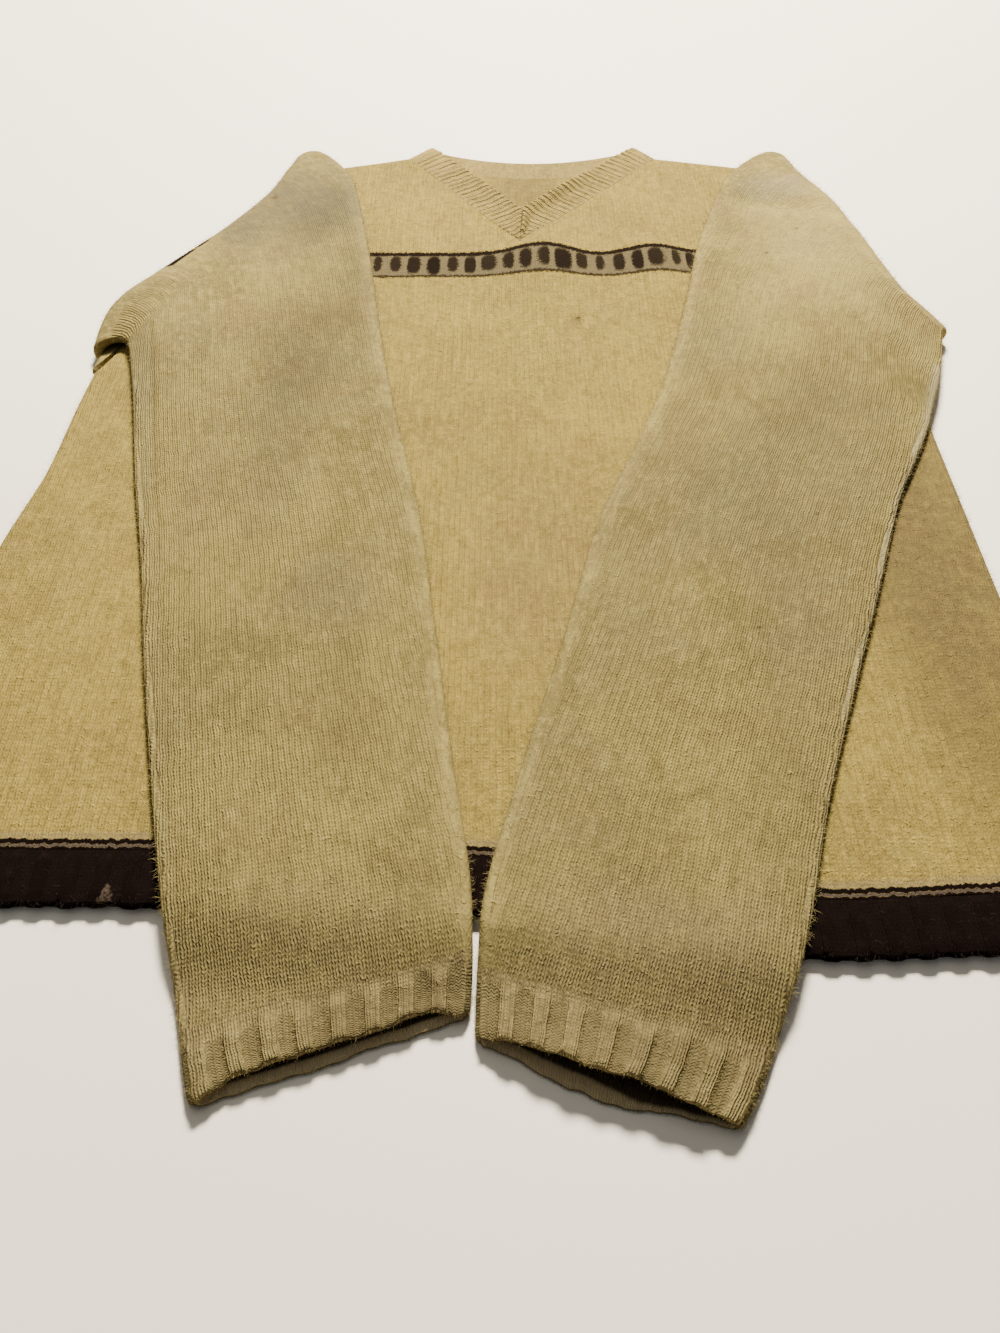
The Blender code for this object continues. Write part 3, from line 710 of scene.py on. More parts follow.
def ring_places(top, under, end_steps):
    """Around a flat tube: over the top, round an edge, back under and round the other edge."""
    arc = [math.pi * i / end_steps for i in range(1, end_steps)]
    ring = [Ring(share, 0.0, 1.0, rib) for share, rib in top]
    ring += [Ring(1.0, math.sin(a), math.cos(a), 0.0) for a in arc]
    ring += [Ring(share, 0.0, -1.0, rib) for share, rib in under]
    ring += [Ring(0.0, -math.sin(a), -math.cos(a), 0.0) for a in arc]
    return ring


def tube(sleeve, first, rings, inset_share, decorate):
    """Rows of spots around a flat tube that follows the sleeve, with the knit place that closes each row."""
    reverse = sleeve.side == "right"
    edge_radius = SLEEVE_HALF - HALF_WALL
    rows, closing = [], []
    count = len(sleeve.path(0.0))
    for k in range(first, count):
        width = (sleeve.path(0.0)[k][0] - sleeve.path(1.0)[k][0]).length
        inset = SLEEVE_HALF / width
        row, places, knits = [], [], []
        for ring in rings:
            across = min(max(ring.share, inset), 1.0 - inset)
            if inset_share:
                across = mix(inset, 1.0 - inset, ring.share)
            path = sleeve.path(across)
            place, puff = path[k]
            left = sleeve.path(max(across - 0.01, 0.0))[k][0]
            right = sleeve.path(min(across + 0.01, 1.0))[k][0]
            before, after = path[max(k - 1, 0)][0], path[min(k + 1, count - 1)][0]
            lateral = (right - left).normalized()
            normal = lateral.cross(after - before).normalized()
            if reverse:
                normal = -normal
            crown = puff * (1.0 - abs(2.0 * across - 1.0) ** 2.5) if ring.upright == 1.0 else 0.0
            offset = normal * (ring.upright * edge_radius + crown) + lateral * ring.sideways * edge_radius
            places.append(place + offset)
            knits.append(sleeve.knit_place(k, across))
        total = 0.0
        knit_row = []
        for i, (ring, knit) in enumerate(zip(rings, knits)):
            if ring.upright == 1.0:
                total = knit.x
            else:
                total += (places[i] - places[i - 1]).length * ROUND[sleeve.side]
            knit_row.append((total, knit.y))
        closing.append((total + (places[0] - places[-1]).length * ROUND[sleeve.side], knits[0].y))
        for i, ring in enumerate(rings):
            row.append(decorate(k - first, count - first, ring, places[i], knit_row[i]))
        rows.append(row)
    return rows, closing


def sleeve_spot(side):
    """How a point of a sleeve is finished: creases and lumps on what shows, and its share across."""
    creases = SLEEVE_CREASES[side]

    def decorate(k, count, ring, place, knit):
        x, y = place.xy
        rise = 0.0
        if ring.upright == 1.0:
            inside = smooth(min(ring.share, 1.0 - ring.share) * 9)
            rise = crease_height(creases, x, y) + 0.0007 * lumps(x, y, 0.034, 11.0)
            rise *= inside * smooth((k - 4) / 6) * smooth((count - 1 - k) / 8)
        turned = k - Sleeve.TURNED
        strip = 0.0
        if turned > 0 and ring.upright != -1.0:
            strip = 2.0 + ring.share * smooth(turned / 7) * (1.0 - 0.045 * min(turned / 70, 1.0))
        return Spot(place + Vector((0.0, 0.0, rise)), knit=knit, marks=(strip, y))

    return decorate


def make_sleeve(side, material):
    stations = [i / 8 for i in range(1, 8 * SLEEVE_END + 1)]
    sleeve = Sleeve(side, stations)
    top = [(mix(0.0, 1.0, i / 56), 0.0) for i in range(57)]
    under = [(1.0 - i / 30, 0.0) for i in range(31)]
    rows, closing = tube(sleeve, 0, ring_places(top, under, 8), False, sleeve_spot(side))
    surface = Surface()
    surface.grid(rows, closing, side == "right")
    return surface.piece("sleeve_" + side + "_wool", material)


# How each cuff's end lies: how far its upper layer lifts, how much shorter both and the upper one are,
# how far the lower layer reaches beyond it and where, and the share at which its lip, painted lighter,
# ends and the painted shade inside begins
Mouth = namedtuple("Mouth", "lift trim short beyond middle spread lip outer_lip")
CUFF_MOUTHS = {
    "left": Mouth(0.0002, 0.0036, 0.0036, 0.0010, 0.45, 0.60, 1.130, 1.130),
    "right": Mouth(0.0004, 0.0045, 0.0010, 0.0065, 0.45, 0.30, 1.130, 0.985),
}
CUFF_RIB_HEIGHT = 0.0015


def make_cuff(side, material):
    """Eight raised ribs that start unevenly. The lower layer reaches a little beyond the upper one."""
    stations = [SLEEVE_END - 0.3] + [mix(SLEEVE_END, CUFF_END, i / 16) for i in range(17)]
    sleeve = Sleeve(side, stations)
    steps = 14
    ribs = [(i / (CUFF_RIBS * steps), rib_profile(i / steps)) for i in range(CUFF_RIBS * steps + 1)]
    under = [(1.0 - i / (CUFF_RIBS * 6), rib_profile(i / 6 + 0.5)) for i in range(CUFF_RIBS * 6 + 1)]
    wale = WALE_PITCH * WALES_IN_RIB
    mouth = CUFF_MOUTHS[side]

    def decorate(k, count, ring, place, knit):
        share = k / (count - 1)
        x, y, z = place
        end = smooth((share - 0.70) / 0.30)
        middle = 1.0 - abs(2.0 * ring.share - 1.0) ** 3
        wave = 0.0004 * (ring.rib - 0.5) + 0.0013 * lumps(x, 0.0, 0.018, 21.0 + ring.upright)
        wave += 0.0005 * lumps(x, 0.0, 0.004, 2.0 + ring.upright)
        shorter = mouth.trim
        lift = 0.0
        if ring.upright == 1.0:
            lift = (mouth.lift + 0.0010 * lumps(x, 0.0, 0.014, 4.0)) * end * middle
            shorter += mouth.short * smooth(min(ring.share, 1.0 - ring.share) * 7)
            wave += 0.0004 * math.sin(2.0 * math.pi * ring.share * CUFF_RIBS)
        elif ring.upright == -1.0:
            shorter -= mouth.beyond * math.exp(-(((ring.share - mouth.middle) / mouth.spread) ** 2))
        start = 0.02 + 0.22 * abs(lumps(math.floor(ring.share * CUFF_RIBS) * 0.37, 0.0, 1.0, 6.0))
        begun = smooth((share - start) / 0.26)
        raised = CUFF_RIB_HEIGHT * ring.rib * begun if ring.upright == 1.0 else 0.0
        across = ring.share * CUFF_RIBS * wale
        moved = y - wave * end + shorter * share * share
        spot = Vector((x, moved, max(z + lift, HALF_WALL if ring.upright == -1.0 else 0.0)))
        rim = mix(1.0, 0.55, smooth((share - 0.90) / 0.10))
        lip = mix(mouth.lip, mouth.outer_lip, smooth((ring.share - 0.40) / 0.30))
        marks = (mix(1.0, ring.rib, begun), share * lip)
        return Spot(spot, raised, (across, -share * CUFF_LENGTH), marks, rim)

    rings = ring_places(ribs, under, 8)
    rows, _ = tube(sleeve, Sleeve.TURNED + 2, rings, True, decorate)
    surface = Surface()
    surface.grid(rows, [row[0].knit for row in rows], side == "right")
    return surface.piece("cuff_" + side + "_wool", material)


# Neck band


NeckSection = namedtuple("NeckSection", "seam edge level rib along front")


def neck_sections(side):
    """Sections across the band, from the point of the V over the shoulder to the middle of the back."""
    end = NECK_POINTS[side]
    other = NECK_POINTS["right" if side == "left" else "left"]
    edge = (end - V_POINT).normalized()
    middle = (edge + (other - V_POINT).normalized()).normalized()
    inward = (middle - edge * middle.dot(edge)).normalized()
    slope = math.tan(math.acos(middle.dot(edge)))
    length = (end - V_POINT).length
    back_end = Vector((end.x - BACK_NECK_POINT.x, 2 * (end.y - BACK_NECK_POINT.y)))
    back_up = facing(Vector((-back_end.y, back_end.x)).normalized(), NORTH)
    fold_across = (inward + back_up).normalized()
    fold_out = facing(Vector((-fold_across.y, fold_across.x)), outward(side))
    sections = []
    step = NECK_RIB_PITCH / 8
    count = math.ceil(length / step)
    for i in range(count + 1):
        along = min(max(i * step, SEAM_GAP / slope), length)
        place = V_POINT + edge * along
        across = inward.lerp(fold_across, smooth((along / length - 0.75) / 0.25)).normalized()
        far = place + across * NECK_BAND
        if along * slope < NECK_BAND:
            far = V_POINT + middle * (along * math.sqrt(1.0 + slope * slope))
        rib = rib_profile(along / NECK_RIB_PITCH + 0.75) * smooth((length - along) / 0.006)
        sections.append(NeckSection(place + across * SEAM_GAP, far, FRONT_LEVEL, rib, along, 1.0))
    radius = (FRONT_LEVEL - BACK_LEVEL) / 2
    for i in range(9):
        angle = math.pi * i / 8
        beyond = BACK_REACH + radius * math.sin(angle)
        seam = end + shoulder_up(side) * beyond + fold_across * 1.5 * SEAM_GAP
        free = end + fold_out * beyond + fold_across * NECK_BAND
        level = (FRONT_LEVEL + BACK_LEVEL) / 2 + radius * math.cos(angle)
        sections.append(NeckSection(seam, free, level, 0.0, length + radius * angle, 0.0))
    back_step = NECK_RIB_PITCH / 4
    count = round(abs(end.x - BACK_NECK_POINT.x) / back_step)
    for i in range(1, count + 1):
        share = 1.0 - i / count
        place = back_neck(side, share)
        run = Vector((end.x - BACK_NECK_POINT.x, 2 * share * (end.y - BACK_NECK_POINT.y)))
        up = facing(Vector((-run.y, run.x)).normalized(), NORTH)
        across = fold_across.lerp(up, smooth((1.0 - share) / 0.25)).normalized()
        rib = rib_profile(i * back_step / NECK_RIB_PITCH + 0.75) * smooth(i / 6) * smooth((count - i) / 3)
        far = place + across * NECK_BAND
        along = length + 0.01 + i * back_step
        sections.append(NeckSection(place + across * SEAM_GAP, far, BACK_LEVEL, rib, along, -1.0))
    return sections


def make_neck_band(material):
    """Ribs square to the neck edge. The right arm's free edge curls up near the point of the V."""
    surface = Surface()
    steps = 10
    for side in ("left", "right"):
        sections = neck_sections(side)
        rows = []
        for k in range(steps + 1):
            share = k / steps
            row = []
            for s in sections:
                place = s.seam.lerp(s.edge, share)
                level = s.level + body_bump(*place)
                width = (s.edge - s.seam).length
                if s.front > 0:
                    curl = 0.0016 if side == "left" else 0.0036
                    near = smooth((0.120 - s.along) / 0.05)
                    level += curl * near * smooth((share - 0.55) / 0.45) * smooth(width / 0.010)
                    level += 0.0005 * (s.rib - 0.5) * smooth((share - 0.8) * 5)
                ends = smooth(min(share, 1.15 - share) * 8)
                above = NECK_RIB_HEIGHT * s.rib * ends if s.front > 0 else 0.0
                rim = mix(1.0, 0.6, smooth((share - 0.88) / 0.12))
                arm = 1.5 if side == "left" or s.front <= 0 else 2.0 + share
                row.append(Spot((*place, level), above, (s.along, share * NECK_BAND), (s.rib, arm), rim))
            rows.append(row)
        if side == "left":
            rows = [row[::-1] for row in rows]
        surface.grid(rows)
    return surface.piece("neck_band_wool", material)


# Shader maths


class Value:
    """A socket in a material's node tree, on which ordinary arithmetic adds nodes."""

    def __init__(self, maths, socket):
        self.maths, self.socket = maths, socket

    def apply(self, operation, *others):
        return self.maths.node("ShaderNodeMath", {"operation": operation}, [self, *others])

    def __add__(self, other):
        return self.apply("ADD", other)

    def __sub__(self, other):
        return self.apply("SUBTRACT", other)

    def __mul__(self, other):
        return self.apply("MULTIPLY", other)

    def __truediv__(self, other):
        return self.apply("DIVIDE", other)

    def __rsub__(self, other):
        return self.maths.node("ShaderNodeMath", {"operation": "SUBTRACT"}, [other, self])

    def __rtruediv__(self, other):
        return self.maths.node("ShaderNodeMath", {"operation": "DIVIDE"}, [other, self])

    def __abs__(self):
        return self.apply("ABSOLUTE")

    __radd__ = __add__
    __rmul__ = __mul__

    def fraction(self):
        return self.apply("FRACT")

    def most(self, other):
        return self.apply("MAXIMUM", other)

    def power(self, other):
        return self.apply("POWER", other)

    def wave(self):
        """A sine over one turn for each unit, from 0 to 1."""
        return (self * (2 * math.pi)).apply("SINE") * 0.5 + 0.5

    def between(self, low, high):
        """0 at low and 1 at high, smoothly."""
        return self.maths.node(
            "ShaderNodeMapRange",
            {"interpolation_type": "SMOOTHSTEP"},
            {"Value": self, "From Min": low, "From Max": high},
        )

    def band(self, start, full, fading, gone):
        """1 from full to fading, and smoothly 0 outside start and gone."""
        return self.between(start, full) * self.between(gone, fading)


class Maths:
    """A new material, to which it adds nodes."""

    def __init__(self, name):
        self.material = bpy.data.materials.new(name)
        self.material.use_nodes = True
        self.tree = self.material.node_tree
        self.shader = self.tree.nodes["Principled BSDF"]

    def node(self, kind, settings=None, inputs=(), output=0):
        made = self.tree.nodes.new(kind)
        for name, value in (settings or {}).items():
            setattr(made, name, value)
        pairs = inputs.items() if isinstance(inputs, dict) else enumerate(inputs)
        for key, value in pairs:
            if isinstance(value, Value):
                self.tree.links.new(value.socket, made.inputs[key])
            else:
                made.inputs[key].default_value = value
        return Value(self, made.outputs[output])

    def noise(self, place, scale, detail=2.0, roughness=0.5):
        inputs = {"Vector": place, "Scale": scale, "Detail": detail, "Roughness": roughness}
        return self.node("ShaderNodeTexNoise", None, inputs, "Fac")

    def drift(self, along):
        """Smooth noise along one number."""
        inputs = {"W": along, "Scale": 1.0}
        return self.node("ShaderNodeTexNoise", {"noise_dimensions": "1D"}, inputs, "Fac")

    def chance(self, number):
        """One random value for each whole number."""
        return self.node("ShaderNodeTexWhiteNoise", {"noise_dimensions": "1D"}, {"W": number}, "Value")

    def object_place(self):
        return self.node("ShaderNodeTexCoord", None, (), "Object")

    def flat_place(self):
        """Where a point lies in the flat knitting."""
        return self.node("ShaderNodeUVMap", {"uv_map": "Knit"})

    def marks(self):
        """The two numbers that each piece gives to its points."""
        return self.parts(self.node("ShaderNodeUVMap", {"uv_map": "Marks"}))[:2]

    def vector(self, operation, *inputs, output=0):
        return self.node("ShaderNodeVectorMath", {"operation": operation}, list(inputs), output)

    def parts(self, place):
        made = self.node("ShaderNodeSeparateXYZ", None, [place])
        outputs = made.socket.node.outputs
        return [Value(self, outputs[i]) for i in range(3)]

    def blend(self, factor, one, other):
        """Colours one and other, mixed by factor."""
        made = self.node("ShaderNodeMix", {"data_type": "RGBA", "clamp_factor": True}, {0: factor})
        for index, value in ((6, one), (7, other)):
            if isinstance(value, Value):
                self.tree.links.new(value.socket, made.socket.node.inputs[index])
            else:
                made.socket.node.inputs[index].default_value = (*value, 1.0)
        return Value(self, made.socket.node.outputs[2])

    def bump(self, height, distance, strength):
        inputs = {"Height": height, "Distance": distance, "Strength": strength}
        return self.node("ShaderNodeBump", None, inputs)

    def finish(self, colour, normal, roughness, specular):
        self.tree.links.new(colour.socket, self.shader.inputs["Base Color"])
        self.tree.links.new(normal.socket, self.shader.inputs["Normal"])
        self.shader.inputs["Roughness"].default_value = roughness
        self.shader.inputs["Specular IOR Level"].default_value = specular
        return self.material


# Gap and stitch are how strong the painted shade in the gaps and the painted highlight on the loops are
Knit = namedtuple("Knit", "wale course gap stitch felt")
BODY_KNIT = Knit(0.0026, 0.0018, 0.30, 0.20, 0.55)
SLEEVE_KNIT = Knit(0.0023, 0.0017, 0.58, 0.62, 0.34)
RIB_KNIT = Knit(0.0021, 0.0016, 0.46, 0.36, 0.42)
NECK_KNIT = Knit(0.0021, 0.0016, 0.30, 0.30, 0.40)


def knit_pattern(maths, uv, place, knit):
    """(height, painted shade in the gaps, painted highlight on the loops) of a column of Vs for each wale."""
    warp = maths.noise(place, 110.0, 2.0) - 0.5
    warp_two = maths.noise(place, 260.0, 1.0) - 0.5
    u, v, _ = maths.parts(uv)
    across = u / knit.wale + warp * 0.65 + warp_two * 0.35
    side = abs(across.fraction() - 0.5) * 2.0
    along = v / knit.course + side * 0.85 + warp_two * 0.8
    loop = along.wave()
    leg = 1.0 - abs(side - 0.45) / 0.55
    edge = side.between(0.60, 1.0)
    middle = 1.0 - side.between(0.0, 0.30)
    gaps = edge * (0.45 + 0.55 * (1.0 - loop)) + middle * 0.30 * (1.0 - loop)
    height = leg * 0.7 + loop * 0.3 * leg
    return height, gaps, leg.most(0.0) * loop


FELTED_HEIGHTS = (0.0200, 0.0150)
PURL_COURSE = 0.0014
# A cuff's inside is painted lighter to stand for light on its lip, and painted with shade deeper in
PAINTED_LIP_LIGHT = (0.560, 0.430, 0.230)
DEEP_INSIDE_SHADE = (0.045, 0.028, 0.014)
SEAM_SHADOW = (0.060, 0.042, 0.016)
LIT_EDGE = (0.300, 0.262, 0.165)

# Where the stripe's end lies on the outline of the left fold, how it leans there, and its pale gap
STRIPE_END = Vector((-0.1887, 0.1780))
STRIPE_END_SLOPE = 0.52
STRIPE_END_GAP = 0.1775

STRIPE_DARK = (0.0060, 0.0028, 0.0008)
STRIPE_GROUND = (0.078, 0.061, 0.034)
BLOCK_PITCH = 0.01176
FIRST_BLOCK = -0.0785

HEM_DARK = (0.0036, 0.0014, 0.0008)
ABOVE_HEM = (0.140, 0.108, 0.060)
HEM_LINE = (0.052, 0.038, 0.030)


def paint_patches(maths, colour, place, warped, rows):
    """Soft patches and small spots of dirt, painted shade and painted light, each a stretched disc with an
    uneven edge. Large ones are mottled.
    """
    mottle = maths.noise(place, 150.0, 4.0, 0.7).between(0.30, 0.70) * 0.6 + 0.6
    for soft_patch in rows:
        away = maths.vector("SUBTRACT", warped, (soft_patch.x, soft_patch.y, 0.0))
        away = maths.vector("MULTIPLY", away, (1.0 / soft_patch.across, 1.0 / soft_patch.along, 0.0))
        reach = maths.vector("LENGTH", away, output=1)
        weight = (1.0 - reach.between(0.25, 1.0)) * soft_patch.strength
        if soft_patch.across > 0.006:
            weight = weight * mottle
        colour = maths.blend(weight, colour, soft_patch.colour)
    return colour


FRONT_STAINS_AND_PAINTED_SHADE = [
    # Painted shade on the back panel where it shows through the V
    ColourPatch(0.0170, 0.2900, 0.0360, 0.0560, 0.55, DULL_BROWN),
    # Painted shade on the front's right side, beyond the right sleeve
    ColourPatch(0.2150, -0.0700, 0.0600, 0.2300, 0.72, DULL_BROWN),
    ColourPatch(0.0448, 0.1235, 0.0026, 0.0026, 0.85, DARK_SPOT),
    ColourPatch(-0.0350, 0.0900, 0.0016, 0.0018, 0.60, DARK_SPOT),
    ColourPatch(0.0430, 0.1180, 0.0080, 0.0100, 0.25, DULL_BROWN),
    ColourPatch(0.0200, -0.1000, 0.0600, 0.0900, 0.18, PINKISH),
    ColourPatch(-0.0200, 0.0200, 0.0500, 0.0700, 0.12, DULL_BROWN),
    # More painted shade on the front's right side
    ColourPatch(0.1950, -0.0900, 0.0350, 0.1700, 0.48, DULL_BROWN),
    ColourPatch(0.0600, 0.2400, 0.0500, 0.0300, 0.12, DULL_BROWN),
]


SLEEVE_STAINS_AND_PAINTED_LIGHT = {
    "left": [
        # Painted shade on the top of the left sleeve
        ColourPatch(-0.1450, 0.2300, 0.0900, 0.0900, 0.70, SHADED),
        # Painted shade on the left sleeve
        ColourPatch(-0.1100, 0.0900, 0.0500, 0.1100, 0.22, SHADED),
        ColourPatch(-0.1150, 0.2350, 0.0420, 0.0380, 0.42, GREY_GREEN),
        ColourPatch(-0.1420, 0.2500, 0.0100, 0.0130, 0.45, GREY_GREEN),
        ColourPatch(-0.1500, 0.2420, 0.0045, 0.0045, 0.60, DARK_SPOT),
        ColourPatch(-0.1100, 0.0600, 0.0260, 0.0450, 0.30, DULL_BROWN),
        ColourPatch(-0.0850, 0.1600, 0.0200, 0.0500, 0.22, GREY_GREEN),
        ColourPatch(-0.1500, -0.0500, 0.0200, 0.0600, 0.20, PINKISH),
        ColourPatch(-0.0950, 0.1100, 0.0300, 0.0300, 0.40, DULL_BROWN),
        ColourPatch(-0.1650, 0.2000, 0.0200, 0.0260, 0.30, GREY_GREEN),
        ColourPatch(-0.0800, -0.1100, 0.0300, 0.0400, 0.30, GREY_GREEN),
        ColourPatch(-0.0700, -0.1800, 0.0250, 0.0500, 0.20, DULL_BROWN),
        ColourPatch(-0.1120, -0.2700, 0.0016, 0.0016, 0.70, DARK_SPOT),
        ColourPatch(-0.0700, -0.2950, 0.0900, 0.0600, 0.42, (0.130, 0.102, 0.052)),
        ColourPatch(-0.1150, 0.0200, 0.0260, 0.1300, 0.24, GREY_GREEN),
    ],
    "right": [
        # Painted light on the top of the right sleeve
        ColourPatch(0.1900, 0.1900, 0.0700, 0.0900, 0.35, PALE),
        # Painted shade on the right sleeve
        ColourPatch(0.1500, -0.0200, 0.0500, 0.1000, 0.22, SHADED),
        ColourPatch(0.1860, 0.2030, 0.0018, 0.0018, 0.60, DARK_SPOT),
        ColourPatch(0.1650, 0.1750, 0.0020, 0.0020, 0.65, DARK_SPOT),
        ColourPatch(0.1550, -0.1600, 0.0022, 0.0022, 0.70, DARK_SPOT),
        ColourPatch(0.1480, -0.1680, 0.0028, 0.0028, 0.50, DULL_BROWN),
        ColourPatch(0.1150, -0.1300, 0.0020, 0.0020, 0.55, DARK_SPOT),
        ColourPatch(0.1540, -0.0550, 0.0016, 0.0020, 0.55, DARK_SPOT),
        ColourPatch(0.1800, 0.0300, 0.0400, 0.0600, 0.18, DULL_BROWN),
        ColourPatch(0.1850, 0.2600, 0.0340, 0.0240, 0.50, GREYISH),
        ColourPatch(0.1100, -0.0500, 0.0400, 0.0600, 0.22, GREY_GREEN),
        ColourPatch(0.1100, -0.2200, 0.0300, 0.0500, 0.22, DULL_BROWN),
        ColourPatch(0.0500, -0.2400, 0.0300, 0.0300, 0.20, DULL_BROWN),
        ColourPatch(0.0500, -0.3000, 0.1000, 0.0600, 0.42, (0.130, 0.098, 0.052)),
        ColourPatch(0.1300, -0.1500, 0.0300, 0.1200, 0.22, (0.105, 0.070, 0.040)),
    ],
}
CUFF_STAINS = [
    ColourPatch(-0.0600, -0.3000, 0.0220, 0.0120, 0.22, DULL_BROWN),
    ColourPatch(0.0550, -0.3150, 0.0600, 0.0300, 0.26, DULL_BROWN),
]


def tint(colour, red, green=None, blue=None):
    """The colour with its parts multiplied, all alike if only one factor is given."""
    factors = (red, red if green is None else green, red if blue is None else blue)
    return tuple(part * factor for part, factor in zip(colour, factors))


def rib_colour(maths, colour, base, rib, reach, zigzag, ribs):
    """Painted shade in the furrows, and on a cuff's inside its lips painted lighter and painted shade deeper
    in. Reach runs along a cuff to 1.

    On the neck band reach is 1.5, or 2 plus the share across its right arm, whose free edge has more painted
    shade in its furrows.
    """
    arm = 1.0 - reach.band(1.3, 1.4, 1.6, 1.7) * 0.55 + reach.between(2.45, 3.0) * 1.3
    # Painted shade in the furrows between the ribs
    furrow = rib.between(0.65, 0.15)
    colour = maths.blend(furrow * (1.0 - zigzag * 0.30) * arm * ribs, colour, tint(base, 0.30))
    # The inside of a cuff: painted lighter for light at its lip, and painted shade deeper in
    inner = rib.between(INSIDE - 1.0, INSIDE - 0.8) * reach.between(1.35, 1.25)
    colour = maths.blend(inner * 0.85, colour, PAINTED_LIP_LIGHT)
    return maths.blend(inner * reach.between(0.97, 0.90) * 0.95, colour, DEEP_INSIDE_SHADE)


def wool_material(name, base, knit, marks=(), bands=None, ribs=0.0, tidy=0.0):
    """Cream wool with its knitting, felt, uneven colour, dirt marks, painted shade and painted light. Bands
    paints what only one piece has.

    Ribs is how strong the painted shade in the furrows of a ribbing is, and a tidy wool has fainter soiling.
    """
    maths = Maths(name)
    place = maths.object_place()
    uv = maths.flat_place()
    height, gaps, loops = knit_pattern(maths, uv, place, knit)
    first_mark, reach = maths.marks()
    cloud = maths.noise(place, 9.0, 3.0, 0.6)
    patch = maths.noise(place, 34.0, 3.0, 0.6)
    felt = maths.noise(place, 620.0, 4.0, 0.7)
    fluff = maths.noise(place, 230.0, 3.0, 0.65)
    pills = maths.noise(place, 480.0, 1.0, 0.4).between(0.66, 0.76)
    worn = maths.noise(place, 24.0, 4.0, 0.65)
    soil = maths.noise(maths.vector("ADD", place, (3.0, 1.0, 0.0)), 20.0, 5.0, 0.7)
    pale = tint(base, 1.42)
    deep = tint(base, 0.60, 0.59, 0.60)
    rosy = tint(base, 0.88, 0.80, 0.88)
    grey = tint(base, 0.78, 0.80, 0.98)
    gold = tint(base, 1.14, 1.13, 1.04)
    flow = maths.noise(maths.vector("MULTIPLY", uv, (1.0, 0.16, 1.0)), 330.0, 3.0, 0.6)
    tones = [
        (cloud, 0.46, 0.60, 0.90 - tidy * 0.50, grey),
        (cloud, 0.48, 0.36, 0.80, gold),
        (patch, 0.49, 0.62, 0.80 - tidy * 0.35, rosy),
        (patch, 0.49, 0.36, 0.55, gold),
        (soil, 0.50, 0.62, 0.70 - tidy * 0.48, deep),
    ]
    for grain in (flow, fluff, felt):
        tones += [(grain, 0.52, 0.68, 0.50, pale), (grain, 0.48, 0.32, 0.50, deep)]
    colour = base
    for cover, low, high, strength, tone in tones:
        colour = maths.blend(cover.between(low, high) * strength, colour, tone)
    covered = worn.between(0.60, 0.46) * 0.65 + 0.35
    if not ribs:
        # The knitting is felted over on top of the folds, and on a sleeve near its two edges
        shown = maths.parts(place)[2].between(*FELTED_HEIGHTS) * 0.6 + 0.4
        if not tidy:
            shown = shown * (first_mark.band(2.0, 2.08, 2.96, 3.0) * 0.85 + 0.15)
        covered = covered * shown
        height = height * shown
    # Painted highlights on the loops and painted shade in the gaps between stitches
    colour = maths.blend(loops * covered * knit.stitch, colour, pale)
    colour = maths.blend(gaps * covered * knit.gap * 1.5, colour, tint(base, 0.36))
    colour = maths.blend(pills * 0.25, colour, pale)
    drift = maths.node("ShaderNodeTexNoise", None, {"Vector": place, "Scale": 70.0, "Detail": 3.0}, "Color")
    drift = maths.vector("SUBTRACT", drift, (0.5, 0.5, 0.5))
    warped = maths.vector("ADD", place, maths.vector("MULTIPLY", drift, (0.012, 0.012, 0.0)))
    colour = paint_patches(maths, colour, place, warped, marks)
    if ribs:
        across, down, _ = maths.parts(uv)
        ragged = (fluff - 0.5) * 1.6
        zigzag = (down / PURL_COURSE + abs((across / knit.wale).fraction() - 0.5) * 1.5 + ragged).wave()
        colour = rib_colour(maths, colour, base, first_mark, reach, zigzag, ribs)
        furrow = first_mark.between(0.65, 0.15)
        height = height * (1.0 - furrow) + zigzag * 0.3 * furrow
    if bands:
        colour = bands(maths, colour, place, felt)
    total = height * (1.0 - knit.felt) + fluff * (knit.felt * 1.3) + felt * (knit.felt * 0.9) + pills * 0.3
    return maths.finish(colour, maths.bump(total + flow * 0.3, 0.0010, 1.0), 1.0, 0.05)


def stripe_colour(maths, colour, x, share, felt):
    """A thick and a thin line with a row of uneven dark blocks between them."""
    t = share + (felt - 0.5) * 0.26
    ground = t.band(-0.02, 0.04, 0.98, 1.04)
    top = t.band(0.84, 0.90, 1.01, 1.07)
    low = t.band(-0.07, -0.02, 0.03, 0.08)
    count = (x - FIRST_BLOCK) / BLOCK_PITCH
    count = count + (maths.drift(count * 0.8) - 0.5) * 0.7 + 0.5
    number = count.apply("FLOOR")
    kind, kind_two = maths.chance(number), maths.chance(number + 40.0)
    sideways = (count.fraction() - 0.5 + (felt - 0.5) * 0.40) / (kind * 0.13 + 0.24)
    upright = (t - 0.50 + (kind_two - 0.5) * 0.12) / (kind_two * 0.10 + 0.29)
    reach = abs(sideways).power(2.8) + abs(upright).power(2.8)
    blocks = reach.between(1.75, 0.60) * (kind_two * 0.08 + 0.92)
    colour = maths.blend(ground * 0.86, colour, STRIPE_GROUND)
    colour = maths.blend(low * 0.90, colour, STRIPE_DARK)
    colour = maths.blend(top, colour, STRIPE_DARK)
    return maths.blend(blocks, colour, STRIPE_DARK)


